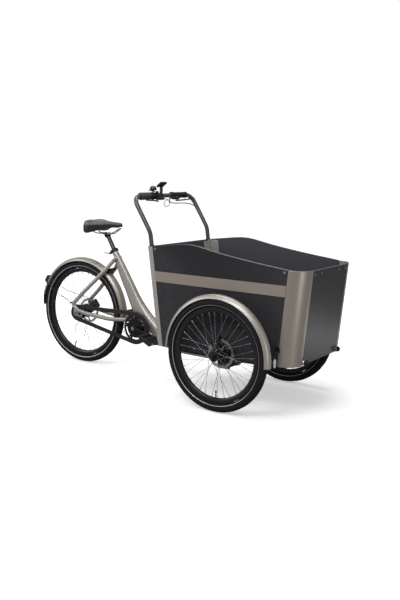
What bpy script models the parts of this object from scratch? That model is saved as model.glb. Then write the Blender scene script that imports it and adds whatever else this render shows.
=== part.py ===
"""Three-wheeled electric cargo bicycle: a low step-through rear frame with one driven wheel, and a box
module on two front wheels that swivels on a vertical kingpin to steer.

Metres, +Z up, +X forwards, +Y to the rider's left. The origin is on the ground under the centre of the
overall box. X positions are first given from the front axle and moved by FRONT_AXLE_X.
"""
import math

import bmesh
import bpy
from mathutils import Matrix, Vector

for old in list(bpy.data.objects):
    bpy.data.objects.remove(old)

# ---------------------------------------------------------------- driving dimensions
FRONT_AXLE_X = 0.5842
WHEELBASE = 1.279
TRACK_HALF = 0.389
FRONT_R, FRONT_BEAD, FRONT_RIM_IN = 0.3055, 0.2575, 0.229
REAR_R, REAR_BEAD, REAR_RIM_IN = 0.331, 0.2835, 0.2575
TYRE_HALF_W = 0.0255
SPOKES = 36
SPOKE_R = 0.0010
ROTOR_R = 0.080

BOX_HALF_W = 0.302
BOX_BOTTOM = 0.2755
BOX_REAR_TOP = 0.836
BOX_FRONT_TOP = 0.778
PANEL = 0.012
REAR_BOTTOM_X, REAR_TOP_X = -0.431, -0.512
FRONT_BOTTOM_X, FRONT_TOP_X = 0.409, 0.453
CORNER_R = 0.095
POST = 0.030

PIVOT_X = -0.12
STEER_LIMIT = 35.0

BB_X, BB_Z = -0.806, 0.291
CRANK_LEN = 0.170
CRANK_TILT = math.radians(-12.0)
PEDAL_TILT = math.radians(28.0)
CHAINRING_T, SPROCKET_T, PITCH = 44, 20, 0.0127
CHAIN_Y = -0.0575

SEAT_TOP = Vector((-1.022, 0.0, 0.748))
SEAT_DIR = Vector((-0.515, 0.0, 0.857)).normalized()
POST_R = 0.0136

BAR_R = 0.0125
BAR_X, BAR_Z = -0.648, 1.104
BAR_HALF = 0.286

GAP = 0.0004


def W(x, y=0.0, z=0.0):
    """A point given from the front axle, in the object's own frame."""
    return Vector((x + FRONT_AXLE_X, y, z))


# ---------------------------------------------------------------- materials
def material(name, rgb, rough, metal):
    m = bpy.data.materials.new(name)
    m.use_nodes = True
    b = m.node_tree.nodes["Principled BSDF"]
    b.inputs["Base Color"].default_value = (*rgb, 1.0)
    b.inputs["Roughness"].default_value = rough
    b.inputs["Metallic"].default_value = metal
    m.diffuse_color = (*rgb, 1.0)
    return m


M = {
    "paint": material("warm_grey_paint", (0.36, 0.33, 0.29), 0.35, 0.3),
    "panel": material("black_panel", (0.035, 0.035, 0.04), 0.45, 0.0),
    "tyre": material("tyre_rubber", (0.03, 0.03, 0.032), 0.75, 0.0),
    "black": material("black_metal", (0.02, 0.02, 0.022), 0.4, 0.6),
    "bar": material("grey_bar_paint", (0.09, 0.09, 0.095), 0.35, 0.5),
    "plastic": material("black_plastic", (0.02, 0.02, 0.022), 0.5, 0.0),
    "steel": material("steel", (0.55, 0.55, 0.56), 0.3, 1.0),
    "spoke": material("stainless", (0.6, 0.6, 0.6), 0.3, 1.0),
    "grip": material("grip_rubber", (0.03, 0.03, 0.03), 0.8, 0.0),
    "seat": material("saddle_cover", (0.04, 0.04, 0.045), 0.6, 0.0),
    "red": material("red_lens", (0.4, 0.02, 0.02), 0.2, 0.0),
}
EMPTIES = {}


# ---------------------------------------------------------------- helpers
def smooth_by_angle(mesh, degrees=35):
    mesh.shade_smooth()
    mesh.set_sharp_from_angle(angle=math.radians(degrees))


def add(name, bm, mat, origin=None, smooth=True, helper=False):
    """Makes the object: its mesh is in the object's frame, its origin is at the given point."""
    bmesh.ops.recalc_face_normals(bm, faces=bm.faces[:])
    if bm.calc_volume(signed=True) < 0:
        bmesh.ops.reverse_faces(bm, faces=bm.faces[:])
    origin = Vector(origin) if origin is not None else Vector((0, 0, 0))
    bmesh.ops.translate(bm, verts=bm.verts[:], vec=-origin)
    me = bpy.data.meshes.new(name)
    bm.to_mesh(me)
    bm.free()
    if smooth:
        smooth_by_angle(me)
    ob = bpy.data.objects.new(name, me)
    ob.location = origin
    bpy.context.scene.collection.objects.link(ob)
    if helper:
        ob.hide_render = True
        ob.display_type = "WIRE"
    else:
        me.materials.append(M[mat])
    return ob


def boolean(ob, cutter, operation):
    mod = ob.modifiers.new(operation.lower(), "BOOLEAN")
    mod.operation = operation
    mod.solver = "EXACT"
    mod.object = cutter
    return mod


def turned(profile, centre, segments, axis="Y", closed=True, turn=0.0):
    """Spins a profile of (radius, along) points about an axis through centre. A closed profile makes a ring;
    an open one starts and ends on the axis. turn is the angle of the first corner."""
    bm = bmesh.new()
    c = Vector(centre)
    if axis == "Y":
        along, out = Vector((0, 1, 0)), Vector((math.cos(turn), 0, math.sin(turn)))
    elif axis == "Z":
        along, out = Vector((0, 0, 1)), Vector((1, 0, 0))
    else:
        along = Vector(axis).normalized()
        out = along.orthogonal().normalized()
    vs = [bm.verts.new(c + out * r + along * a) for r, a in profile]
    n = len(vs)
    es = [bm.edges.new((vs[i], vs[(i + 1) % n])) for i in range(n if closed else n - 1)]
    bmesh.ops.spin(bm, geom=vs + es, cent=c, axis=along, angle=2 * math.pi, steps=segments, use_merge=True, use_duplicate=False)
    bmesh.ops.remove_doubles(bm, verts=bm.verts[:], dist=1e-6)
    return bm


def rod(a, b, r, segments=12, bm=None):
    """A solid round bar from a to b."""
    made = bm or bmesh.new()
    a, b = Vector(a), Vector(b)
    d = b - a
    rot = d.to_track_quat("Z", "Y").to_matrix().to_4x4()
    bmesh.ops.create_cone(made, cap_ends=True, cap_tris=False, segments=segments, radius1=r, radius2=r, depth=d.length,
                          matrix=Matrix.Translation((a + b) / 2) @ rot)
    return made


def block(lo, hi, bm=None, matrix=None):
    made = bm or bmesh.new()
    lo, hi = Vector(lo), Vector(hi)
    m = Matrix.Translation((lo + hi) / 2) @ Matrix.Diagonal((*(hi - lo), 1.0))
    bmesh.ops.create_cube(made, size=1.0, matrix=(matrix @ m) if matrix else m)
    return made


def extruded(points, vector):
    """A flat outline pushed along a vector."""
    bm = bmesh.new()
    face = bm.faces.new([bm.verts.new(p) for p in points])
    out = bmesh.ops.extrude_face_region(bm, geom=[face])
    bmesh.ops.translate(bm, verts=[g for g in out["geom"] if isinstance(g, bmesh.types.BMVert)], vec=vector)
    return bm


def loft(rings):
    """Skins closed rings of equal length, with a flat cap on each end."""
    bm = bmesh.new()
    rows = [[bm.verts.new(p) for p in ring] for ring in rings]
    n = len(rows[0])
    for a, b in zip(rows, rows[1:]):
        for i in range(n):
            bm.faces.new((a[i], a[(i + 1) % n], b[(i + 1) % n], b[i]))
    bm.faces.new(rows[0][::-1])
    bm.faces.new(rows[-1])
    return bm


def swept(path, outline, up=Vector((0, 1, 0)), closed=False):
    """Carries an outline of (across, up) points along a path that stays square to `up`."""
    n = len(path)
    rings = []
    for i, p in enumerate(path):
        before = path[(i - 1) % n] if (closed or i > 0) else path[i]
        after = path[(i + 1) % n] if (closed or i < n - 1) else path[i]
        t = (after - before).normalized()
        side = t.cross(up).normalized()
        rings.append([p + side * a + up * b for a, b in outline])
    if not closed:
        return loft(rings)
    bm = bmesh.new()
    rows = [[bm.verts.new(p) for p in ring] for ring in rings]
    m = len(outline)
    for k in range(n):
        a, b = rows[k], rows[(k + 1) % n]
        for i in range(m):
            bm.faces.new((a[i], a[(i + 1) % m], b[(i + 1) % m], b[i]))
    return bm


def filleted(points, radii, steps=4):
    """A polyline whose corners are rounded to the given radii."""
    points = [Vector(p) for p in points]
    out = [points[0]]
    for i in range(1, len(points) - 1):
        p, a, b = points[i], points[i - 1], points[i + 1]
        u, v = (a - p).normalized(), (b - p).normalized()
        half = u.angle(v) / 2
        r = radii[i - 1]
        cut = r / math.tan(half)
        centre = p + (u + v).normalized() * (r / math.sin(half))
        s, e = p + u * cut - centre, p + v * cut - centre
        total = s.angle(e)
        axis = s.cross(e).normalized()
        for k in range(steps + 1):
            out.append(centre + Matrix.Rotation(total * k / steps, 3, axis) @ s)
    out.append(points[-1])
    return out


def tube(name, path, r, mat, sides_res=2, origin=None):
    """A round tube or rod as a curve with a bevel and filled caps."""
    cu = bpy.data.curves.new(name, "CURVE")
    cu.dimensions = "3D"
    cu.bevel_depth = r
    cu.bevel_resolution = sides_res
    cu.use_fill_caps = True
    cu.twist_mode = "MINIMUM"
    sp = cu.splines.new("POLY")
    origin = Vector(origin) if origin is not None else Vector((0, 0, 0))
    sp.points.add(len(path) - 1)
    for pt, p in zip(sp.points, path):
        pt.co = (*(Vector(p) - origin), 1.0)
    cu.materials.append(M[mat])
    ob = bpy.data.objects.new(name, cu)
    ob.location = origin
    bpy.context.scene.collection.objects.link(ob)
    return ob


def plate(name, loops, y0, y1, mat, origin=None):
    """A flat plate in the XZ plane from y0 to y1, as a 2D curve with holes. loops are lists of (x, z)."""
    cu = bpy.data.curves.new(name, "CURVE")
    cu.dimensions = "2D"
    cu.fill_mode = "BOTH"
    cu.extrude = abs(y1 - y0) / 2
    ox, oz = (origin[0], origin[2]) if origin is not None else (0.0, 0.0)
    for loop in loops:
        sp = cu.splines.new("POLY")
        sp.points.add(len(loop) - 1)
        for pt, (x, z) in zip(sp.points, loop):
            pt.co = (x - ox, z - oz, 0, 1)
        sp.use_cyclic_u = True
    cu.materials.append(M[mat])
    ob = bpy.data.objects.new(name, cu)
    ob.rotation_euler = (math.radians(90), 0, 0)
    ob.location = (ox, (y0 + y1) / 2, oz)
    bpy.context.scene.collection.objects.link(ob)
    return ob


def circle_pts(cx, cz, r, n, start=0.0, end=2 * math.pi, closed=True):
    k = n if closed else n - 1
    return [(cx + r * math.cos(start + (end - start) * i / k), cz + r * math.sin(start + (end - start) * i / k)) for i in range(n)]


# ---------------------------------------------------------------- wheels
# Every ring of a wheel has SIDES flats, one of them on the ground; radii are given to the middle of a flat.
SIDES = 36
HALF_STEP = math.pi / SIDES
FLAT = 1.0 / math.cos(HALF_STEP)


def tyre_profile(R, bead):
    w = TYRE_HALF_W
    half = [(R, 0.0080), (R - 0.0065, 0.0180), (R - 0.0230, w), (bead + 0.0090, 0.0195), (bead + 0.0005, 0.0115)]
    return [(r * FLAT, y) for r, y in half + [(r, -y) for r, y in half[::-1]]]


def rim_profile(bead, inner):
    half = [(bead, 0.0130), (inner + 0.006, 0.0100), (inner, 0.0045)]
    return [(r * FLAT, y) for r, y in half + [(r, -y) for r, y in half[::-1]]]


def spoked_hub(name, centre, profile, flange_r, flange_y, rim_in, mat, rim_y=0.0030):
    """Hub shell with its laced spokes: half the spokes lean one way, half the other, three crossings each side."""
    c = Vector(centre)
    hub = add(name, turned(profile, c, 14), mat, origin=c)
    bm = bmesh.new()
    pitch = 2 * math.pi / SPOKES
    for s in (1, -1):
        for k in range(SPOKES // 4):
            for lead in (1, -1):
                rim_a = (4 * k + (0 if lead > 0 else 2) + (0 if s > 0 else 1)) * pitch
                hub_a = rim_a - lead * 6 * pitch
                y_hub = s * flange_y[0 if s > 0 else 1] + lead * 0.0019
                a = c + Vector((math.cos(hub_a) * (flange_r - 0.004), y_hub, math.sin(hub_a) * (flange_r - 0.004)))
                reach = rim_in - GAP - SPOKE_R * 0.6
                b = c + Vector((math.cos(rim_a) * reach, s * rim_y, math.sin(rim_a) * reach))
                rod(a, b, SPOKE_R, segments=3, bm=bm)
    wires = add(name + "_spokes", bm, mat, origin=c, helper=True)
    boolean(hub, wires, "UNION")
    return hub


def wheel(prefix, centre, R, bead, rim_in, hub_profile, flange_r, flange_y, rotor_y, rotor_bore):
    c = Vector(centre)
    add(prefix + "_tyre", turned(tyre_profile(R, bead), c, SIDES, turn=HALF_STEP), "tyre", origin=c)
    add(prefix + "_rim", turned(rim_profile(bead, rim_in), c, SIDES, turn=HALF_STEP), "black", origin=c)
    spoked_hub(prefix + "_hub_and_spokes", c, hub_profile, flange_r, flange_y, rim_in, "black")
    t = 0.0009
    rotor = [(ROTOR_R, rotor_y - t), (ROTOR_R, rotor_y + t), (rotor_bore, rotor_y + t), (rotor_bore, rotor_y - t)]
    add(prefix + "_brake_rotor", turned(rotor, c, 24), "steel", origin=c)


def hub_profile(bore, barrel, flange, fy_pos, fy_neg, end, half):
    """A hub shell with two flanges, as a closed outline (radius, along)."""
    t = 0.0024
    return [(bore, -half), (end, -half), (end, -fy_neg - 0.006), (barrel, -fy_neg - t), (flange, -fy_neg - t), (flange, -fy_neg + t),
            (barrel, -fy_neg + t + 0.004), (barrel, fy_pos - t - 0.004), (flange, fy_pos - t), (flange, fy_pos + t), (barrel, fy_pos + t),
            (end, fy_pos + 0.006), (end, half), (bore, half)]


SPINDLE_R = 0.0080
front_hub = hub_profile(SPINDLE_R + 0.0006, 0.017, 0.029, 0.029, 0.029, 0.0145, 0.0440)
for side, s in (("right", -1), ("left", 1)):
    wheel(f"front_{side}", W(0, s * TRACK_HALF, FRONT_R), FRONT_R, FRONT_BEAD, FRONT_RIM_IN, front_hub, 0.029, (0.029, 0.029),
          -s * 0.0455, SPINDLE_R + 0.0012)

REAR = W(-WHEELBASE, 0, REAR_R)
rear_hub = hub_profile(0.0058, 0.034, 0.045, 0.030, 0.030, 0.030, 0.0450)
wheel("rear", REAR, REAR_R, REAR_BEAD, REAR_RIM_IN, rear_hub, 0.045, (0.030, 0.030), 0.0505, 0.0065)

# ---------------------------------------------------------------- rear frame
frame_path = [  # (x, z, half height, half width) of the swooping main tube, from the seat clamp to the steering head
    (-1.022, 0.748, 0.0195, 0.0195), (-1.0134, 0.7337, 0.0195, 0.0195), (-1.000, 0.711, 0.0215, 0.0200), (-0.974, 0.664, 0.0275, 0.0210), (-0.945, 0.612, 0.0325, 0.0220),
    (-0.915, 0.560, 0.0360, 0.0230), (-0.884, 0.508, 0.0385, 0.0240), (-0.852, 0.452, 0.0430, 0.0260), (-0.820, 0.404, 0.0480, 0.0290),
    (-0.782, 0.361, 0.0490, 0.0320), (-0.734, 0.321, 0.0450, 0.0340), (-0.682, 0.286, 0.0410, 0.0350), (-0.627, 0.250, 0.0370, 0.0350),
    (-0.568, 0.219, 0.0320, 0.0350), (-0.502, 0.202, 0.0290, 0.0345), (-0.430, 0.198, 0.0280, 0.0335), (-0.300, 0.198, 0.0280, 0.0320),
    (-0.150, 0.198, 0.0280, 0.0310),
]
rings = []
for i, (x, z, h, w) in enumerate(frame_path):
    a = frame_path[max(i - 1, 0)]
    b = frame_path[min(i + 1, len(frame_path) - 1)]
    t = Vector((b[0] - a[0], 0, b[1] - a[1])).normalized()
    if i < 2:
        t = -SEAT_DIR
    up = Vector((t.z, 0, -t.x))
    ring = []
    for k in range(14):
        q = 2 * math.pi * k / 14
        cq, sq = math.cos(q), math.sin(q)
        e = 1.0 if i < 2 else 0.80  # round in the seat clamp, then a slightly squared oval
        ring.append(W(x, 0, z) + up * (h * math.copysign(abs(cq) ** e, cq)) + Vector((0, w * math.copysign(abs(sq) ** e, sq), 0)))
    rings.append(ring)
main = add("main_frame", loft(rings), "paint")
head = add("steering_head_form", turned([(0.0, 0.160), (0.034, 0.160), (0.034, 0.2358), (0.0, 0.2358)], W(PIVOT_X, 0, 0), 20, axis="Z", closed=False), "paint", helper=True)
yoke = add("stay_yoke_form", rod(W(-0.868, -0.046, 0.350), W(-0.868, 0.046, 0.350), 0.024, 14), "paint", helper=True)
seat_bore = add("seat_bore_cutter", rod(W(*SEAT_TOP) + SEAT_DIR * 0.02, W(*SEAT_TOP) - SEAT_DIR * 0.175, POST_R + 0.0009, 16), "paint", helper=True)
MOTOR_R = 0.058
motor_cut = add("motor_cradle_cutter", rod(W(BB_X, -0.2, BB_Z), W(BB_X, 0.2, BB_Z), MOTOR_R + GAP, 24), "paint", helper=True)
pin = add("kingpin_form", rod(W(PIVOT_X, 0, 0.18), W(PIVOT_X, 0, 0.2740), 0.0120, 16), "paint", helper=True)
boolean(main, head, "UNION")
boolean(main, yoke, "UNION")

# The stays are welded on: each is one bent tube, up from the yoke, round the axle and up to the seat tube.
for side, s in (("right", -1), ("left", 1)):
    stay_path = filleted([W(-0.9890, s * 0.0200, 0.7093), W(-1.058, s * 0.048, 0.624), W(-1.213, s * 0.0745, 0.474), W(-1.306, s * 0.0765, 0.3835),
                          W(-1.262, s * 0.0765, 0.3500), W(-1.180, s * 0.0730, 0.3345), W(-1.02, s * 0.0520, 0.3190), W(-0.8740, s * 0.0380, 0.3310)],
                         [0.10, 0.12, 0.016, 0.05, 0.12, 0.20], 3)
    n = len(stay_path)
    rings = []
    for i, p in enumerate(stay_path):
        t = (stay_path[min(i + 1, n - 1)] - stay_path[max(i - 1, 0)]).normalized()
        across = t.cross(Vector((0, 1, 0))).normalized()
        third = across.cross(t)
        rings.append([p + across * (0.0132 * math.cos(2 * math.pi * k / 10)) + third * (0.0105 * math.sin(2 * math.pi * k / 10)) for k in range(10)])
    stay = add(f"stay_{side}_form", loft(rings), "paint", helper=True)
    y0, y1 = (s * 0.0700, s * 0.0770)
    outline = [W(-1.279 + 0.019 * math.cos(q), y0, REAR_R + 0.019 * math.sin(q)) for q in [math.pi * (1.05 + 0.9 * k / 8) for k in range(9)]]
    outline += [W(-1.258, y0, 0.350), W(-1.291, y0, 0.374), W(-1.299, y0, 0.350)]
    drop = add(f"dropout_{side}_form", extruded(outline, Vector((0, y1 - y0, 0))), "paint", helper=True)
    hole = add(f"dropout_{side}_hole", rod(W(-1.279, s * 0.05, REAR_R), W(-1.279, s * 0.1, REAR_R), 0.0056, 12), "paint", helper=True)
    boolean(main, stay, "UNION")
    boolean(main, drop, "UNION")
    boolean(main, hole, "DIFFERENCE")
boolean(main, seat_bore, "DIFFERENCE")
boolean(main, motor_cut, "DIFFERENCE")
boolean(main, pin, "UNION")

axle = [(0.0, -0.0900), (0.0050, -0.0900), (0.0050, -0.0850), (0.0100, -0.0850), (0.0100, -0.0774), (0.0050, -0.0774),
        (0.0050, 0.0774), (0.0100, 0.0774), (0.0100, 0.0850), (0.0050, 0.0850), (0.0050, 0.0900), (0.0, 0.0900)]
add("rear_axle", turned(axle, REAR, 12, closed=False), "steel", origin=REAR)


# ---------------------------------------------------------------- mudguards
def mudguard(name, centre, radius, half_w, a0, a1, steps, flap=0.0):
    """A channel-section mudguard over an arc. Angles are from straight ahead, in degrees, over the top."""
    c = Vector(centre)
    t = 0.0020
    outer = [(-0.022, -half_w), (-0.009, -half_w * 0.88), (0.0, -half_w * 0.34), (0.0, half_w * 0.34), (-0.009, half_w * 0.88), (-0.022, half_w)]
    inner = [(a - t if abs(b) < half_w * 0.9 else a, b * (1 - t / half_w)) for a, b in outer[::-1]]
    rings = []
    for k in range(steps + 1):
        q = math.radians(a0 + (a1 - a0) * k / steps)
        d = Vector((math.cos(q), 0, math.sin(q)))
        rings.append([c + d * (radius + a) + Vector((0, b, 0)) for a, b in outer + inner])
    return add(name, loft(rings), "paint")


rear_guard = mudguard("rear_mudguard", REAR, 0.3530, 0.0320, -2.0, 166.0, 18)
for side, s in (("right", -1), ("left", 1)):
    mudguard(f"front_mudguard_{side}", W(0, s * TRACK_HALF, FRONT_R), 0.3245, 0.0285, -4.0, 180.0, 20)

light_c = REAR + Vector((math.cos(math.radians(150)), 0, math.sin(math.radians(150)))) * 0.3625
turn = Matrix.Rotation(math.radians(-150 + 180), 4, "Y")
bm = block((-0.018, -0.018, -0.026), (0.0085, 0.018, 0.026), matrix=Matrix.Translation(light_c) @ turn)
lamp = add("rear_light", bm, "red", origin=light_c)
bev = lamp.modifiers.new("edges", "BEVEL")
bev.width = 0.004
bev.segments = 1

# ---------------------------------------------------------------- drive
motor = [(0.0092, -0.0440), (0.0400, -0.0440), (0.0540, -0.0380), (MOTOR_R, -0.0280), (MOTOR_R, 0.0330), (0.0500, 0.0480), (0.0300, 0.0560), (0.0092, 0.0560)]
BB = W(BB_X, 0, BB_Z)
motor_ob = add("motor_housing", turned(motor, BB, 24), "plastic", origin=BB)

pitch_r1 = CHAINRING_T * PITCH / (2 * math.pi)
pitch_r2 = SPROCKET_T * PITCH / (2 * math.pi)
c1, c2 = Vector((W(BB_X).x, BB_Z)), Vector((W(-WHEELBASE).x, REAR_R))
d = c2 - c1
base = math.atan2(d.y, d.x)
lean = math.acos((pitch_r1 - pitch_r2) / d.length)
a_top, a_bot = base - lean, base + lean  # tangent angles on both wheels
loop = []
for k in range(17):
    q = a_bot + (a_top + 2 * math.pi - a_bot) * k / 16
    loop.append(Vector((c1.x + pitch_r1 * math.cos(q), CHAIN_Y, c1.y + pitch_r1 * math.sin(q))))
for k in range(9):
    q = a_top + (a_bot - a_top) * k / 8
    loop.append(Vector((c2.x + pitch_r2 * math.cos(q), CHAIN_Y, c2.y + pitch_r2 * math.sin(q))))
add("drive_chain", swept(loop, [(-0.0042, -0.0038), (0.0042, -0.0038), (0.0042, 0.0038), (-0.0042, 0.0038)], closed=True), "black")

ring_r = pitch_r1 - 0.0052
loops = [circle_pts(BB.x, BB.z, ring_r, 40), circle_pts(BB.x, BB.z, 0.0110, 12)]
for k in range(5):
    mid = CRANK_TILT + math.radians(36 + 72 * k)
    half = math.radians(25)
    loops.append(circle_pts(BB.x, BB.z, 0.0700, 7, mid - half, mid + half, False) + circle_pts(BB.x, BB.z, 0.0300, 5, mid + half * 0.62, mid - half * 0.62, False))
plate("chainring", loops, CHAIN_Y - 0.0020, CHAIN_Y + 0.0020, "black", origin=BB)

sprocket_r = pitch_r2 - 0.0052
sprocket = [(0.0064, CHAIN_Y - 0.0030), (0.0180, CHAIN_Y - 0.0030), (0.0180, CHAIN_Y - 0.0018), (sprocket_r, CHAIN_Y - 0.0018), (sprocket_r, CHAIN_Y + 0.0018),
            (0.0200, CHAIN_Y + 0.0018), (0.0200, -0.0456), (0.0064, -0.0456)]
add("rear_sprocket", turned(sprocket, REAR, 24), "steel", origin=REAR)

# The guard: a flat band that follows the whole chain on its outside, round both sprockets.
def chain_offset(off, n1, n2):
    front = circle_pts(c1.x, c1.y, pitch_r1 + off, n1, a_bot, a_top + 2 * math.pi, False)
    back = circle_pts(c2.x, c2.y, pitch_r2 + off, n2, a_top, a_bot, False)
    return front + back


plate("chain_guard", [chain_offset(0.0120, 30, 14), chain_offset(-0.0125, 26, 12)], -0.0652, -0.0628, "plastic")

arm_dir = Vector((math.cos(CRANK_TILT), 0, math.sin(CRANK_TILT)))
for side, s in (("right", -1), ("left", 1)):
    d = arm_dir * (1 if s < 0 else -1)
    n = Vector((-d.z, 0, d.x))
    inner, outer = (0.0730, 0.0860)
    tip = BB + d * CRANK_LEN
    pts = []
    for k in range(7):
        q = math.radians(90 + 30 * k)
        pts.append(BB + d * (0.019 * math.cos(q)) + n * (0.019 * math.sin(q)))
    for k in range(7):
        q = math.radians(-90 + 30 * k)
        pts.append(tip + d * (0.0135 * math.cos(q)) + n * (0.0135 * math.sin(q)))
    bm = extruded([p + Vector((0, s * inner, 0)) for p in pts], Vector((0, s * (outer - inner), 0)))
    arm = add(f"crank_{side}", bm, "black", origin=BB)
    pin_end = 0.184
    pin = add(f"pedal_pin_{side}_form", rod(tip + Vector((0, s * (inner + 0.004), 0)), tip + Vector((0, s * pin_end, 0)), 0.0055, 12), "steel", helper=True)
    boolean(arm, pin, "UNION")
    if s < 0:  # the spindle is part of the right-hand crank; the left crank is clamped on its far end
        spin = add("spindle_form", rod(BB + Vector((0, -0.080, 0)), BB + Vector((0, 0.0725, 0)), 0.0085, 14), "steel", helper=True)
        boolean(arm, spin, "UNION")
    # pedal: a platform with a bore for the pin
    y_in, y_out = 0.0880, 0.1860
    bm = block((-0.046, min(s * y_in, s * y_out), -0.0125), (0.046, max(s * y_in, s * y_out), 0.0125), matrix=Matrix.Translation(tip) @ Matrix.Rotation(PEDAL_TILT, 4, "Y"))
    ped = add(f"pedal_{side}", bm, "plastic", origin=tip)
    b = ped.modifiers.new("edges", "BEVEL")
    b.width = 0.006
    b.segments = 1
    bore = add(f"pedal_{side}_bore", rod(tip + Vector((0, s * 0.07, 0)), tip + Vector((0, s * 0.2, 0)), 0.0062, 12), "plastic", helper=True)
    boolean(ped, bore, "DIFFERENCE")
    for q in (-1, 1):
        slot = add(f"pedal_{side}_slot_{q + 1}", block((-0.031 if q < 0 else 0.012, min(s * 0.1, s * 0.174), -0.03), (-0.012 if q < 0 else 0.031, max(s * 0.1, s * 0.174), 0.03), matrix=Matrix.Translation(tip) @ Matrix.Rotation(PEDAL_TILT, 4, "Y")), "plastic", helper=True)
        boolean(ped, slot, "DIFFERENCE")

# The rear brake caliper straddles the rotor, on the left above the chain stay.
q = math.radians(40)
at = REAR + Vector((0.068 * math.cos(q), 0, 0.068 * math.sin(q)))
rot = Matrix.Rotation(-(q - math.pi / 2), 4, "Y")
cal = add("rear_brake_caliper", block((-0.028, 0.0405, -0.020), (0.028, 0.0600, 0.026), matrix=Matrix.Translation(at) @ rot), "black", smooth=False)
slot = add("rear_caliper_slot", turned([(0.0, 0.0505 - 0.0026), (ROTOR_R + 0.0025, 0.0505 - 0.0026), (ROTOR_R + 0.0025, 0.0505 + 0.0026), (0.0, 0.0505 + 0.0026)], REAR, 24, closed=False), "black", helper=True)
boolean(cal, slot, "DIFFERENCE")

# ---------------------------------------------------------------- seat
top = W(*SEAT_TOP)
collar = [(0.0202, -0.010), (0.0250, -0.010), (0.0250, 0.008), (POST_R + 0.0009, 0.008), (POST_R + 0.0009, 0.0006), (0.0202, 0.0006)]
add("seat_clamp", turned(collar, top, 18, axis=SEAT_DIR), "black", origin=top)
hinge = top + Vector((-0.0330, 0.0, -0.0200))
bm = rod(hinge + Vector((0, -0.006, 0)), hinge + Vector((0, 0.006, 0)), 0.0062, 10)
lever = add("clamp_lever", bm, "black", origin=hinge)
blade = add("clamp_lever_form", block((-0.052, -0.005, -0.0035), (0.0, 0.005, 0.0035), matrix=Matrix.Translation(hinge)), "black", helper=True)
boolean(lever, blade, "UNION")

post_top = top + SEAT_DIR * 0.098
shaft = [(0.0, -0.125), (POST_R, -0.125), (POST_R, 0.098), (0.0, 0.098)]
seat_post = add("seat_post", turned(shaft, top, 14, axis=SEAT_DIR, closed=False), "black", origin=top)
clamp_c = post_top + Vector((-0.006, 0, 0.010))
cl = add("seat_post_head_form", rod(clamp_c + Vector((0, -0.0155, 0)), clamp_c + Vector((0, 0.0155, 0)), 0.0165, 14), "black", helper=True)
boolean(seat_post, cl, "UNION")

SADDLE = clamp_c + Vector((-0.0220, 0, 0.0))
rail_path = filleted([SADDLE + Vector((0.125, 0.006, 0.046)), SADDLE + Vector((0.060, 0.0205, 0.0085)), SADDLE + Vector((-0.055, 0.0205, 0.0085)),
                      SADDLE + Vector((-0.102, 0.031, 0.031))], [0.05, 0.05], 3)
mirror_path = [Vector((p.x, -p.y, p.z)) for p in rail_path]
tube("saddle_rails", mirror_path[::-1] + rail_path, 0.0038, "steel", 1)
sections = [  # (x, half width, bottom z, top z)
    (-0.1300, 0.050, 0.055, 0.0760), (-0.1180, 0.076, 0.020, 0.0860), (-0.0850, 0.088, 0.012, 0.0930), (-0.0450, 0.080, 0.020, 0.0915),
    (-0.0050, 0.054, 0.036, 0.0860), (0.0450, 0.034, 0.052, 0.0845), (0.0950, 0.024, 0.055, 0.0840), (0.1250, 0.019, 0.054, 0.0800), (0.1360, 0.010, 0.058, 0.0740),
]
rings = []
for x, w, z0, z1 in sections:
    mid, h = (z0 + z1) / 2, (z1 - z0) / 2
    ring = []
    for k in range(12):
        q = 2 * math.pi * k / 12
        cy, cz = math.cos(q), math.sin(q)
        z = mid + h * math.copysign(abs(cz) ** 0.7, cz)
        ring.append(SADDLE + Vector((x, w * math.copysign(abs(cy) ** 0.8, cy), z)))
    rings.append(ring)
sad = add("saddle", loft(rings), "seat")
hollow_rings = []
for x, w, z0, z1 in [(-0.1100, 0.046, 0.0, 0.060), (-0.0850, 0.068, -0.01, 0.070), (-0.0450, 0.060, -0.01, 0.072), (0.0000, 0.036, 0.0, 0.072), (0.0550, 0.020, 0.03, 0.072), (0.1180, 0.0105, 0.03, 0.067)]:
    hollow_rings.append([SADDLE + Vector((x, y, z)) for y, z in ((-w, z0), (w, z0), (w, z1 - 0.012), (w * 0.6, z1), (-w * 0.6, z1), (-w, z1 - 0.012))])
hol = add("saddle_hollow_cutter", loft(hollow_rings), "seat", helper=True)
boolean(sad, hol, "DIFFERENCE")

# ---------------------------------------------------------------- box module
def rear_x(z):
    return REAR_BOTTOM_X + (REAR_TOP_X - REAR_BOTTOM_X) * (z - BOX_BOTTOM) / (BOX_REAR_TOP - BOX_BOTTOM)


def front_x(z):
    return FRONT_BOTTOM_X + (FRONT_TOP_X - FRONT_BOTTOM_X) * (z - BOX_BOTTOM) / (BOX_FRONT_TOP - BOX_BOTTOM)


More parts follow.
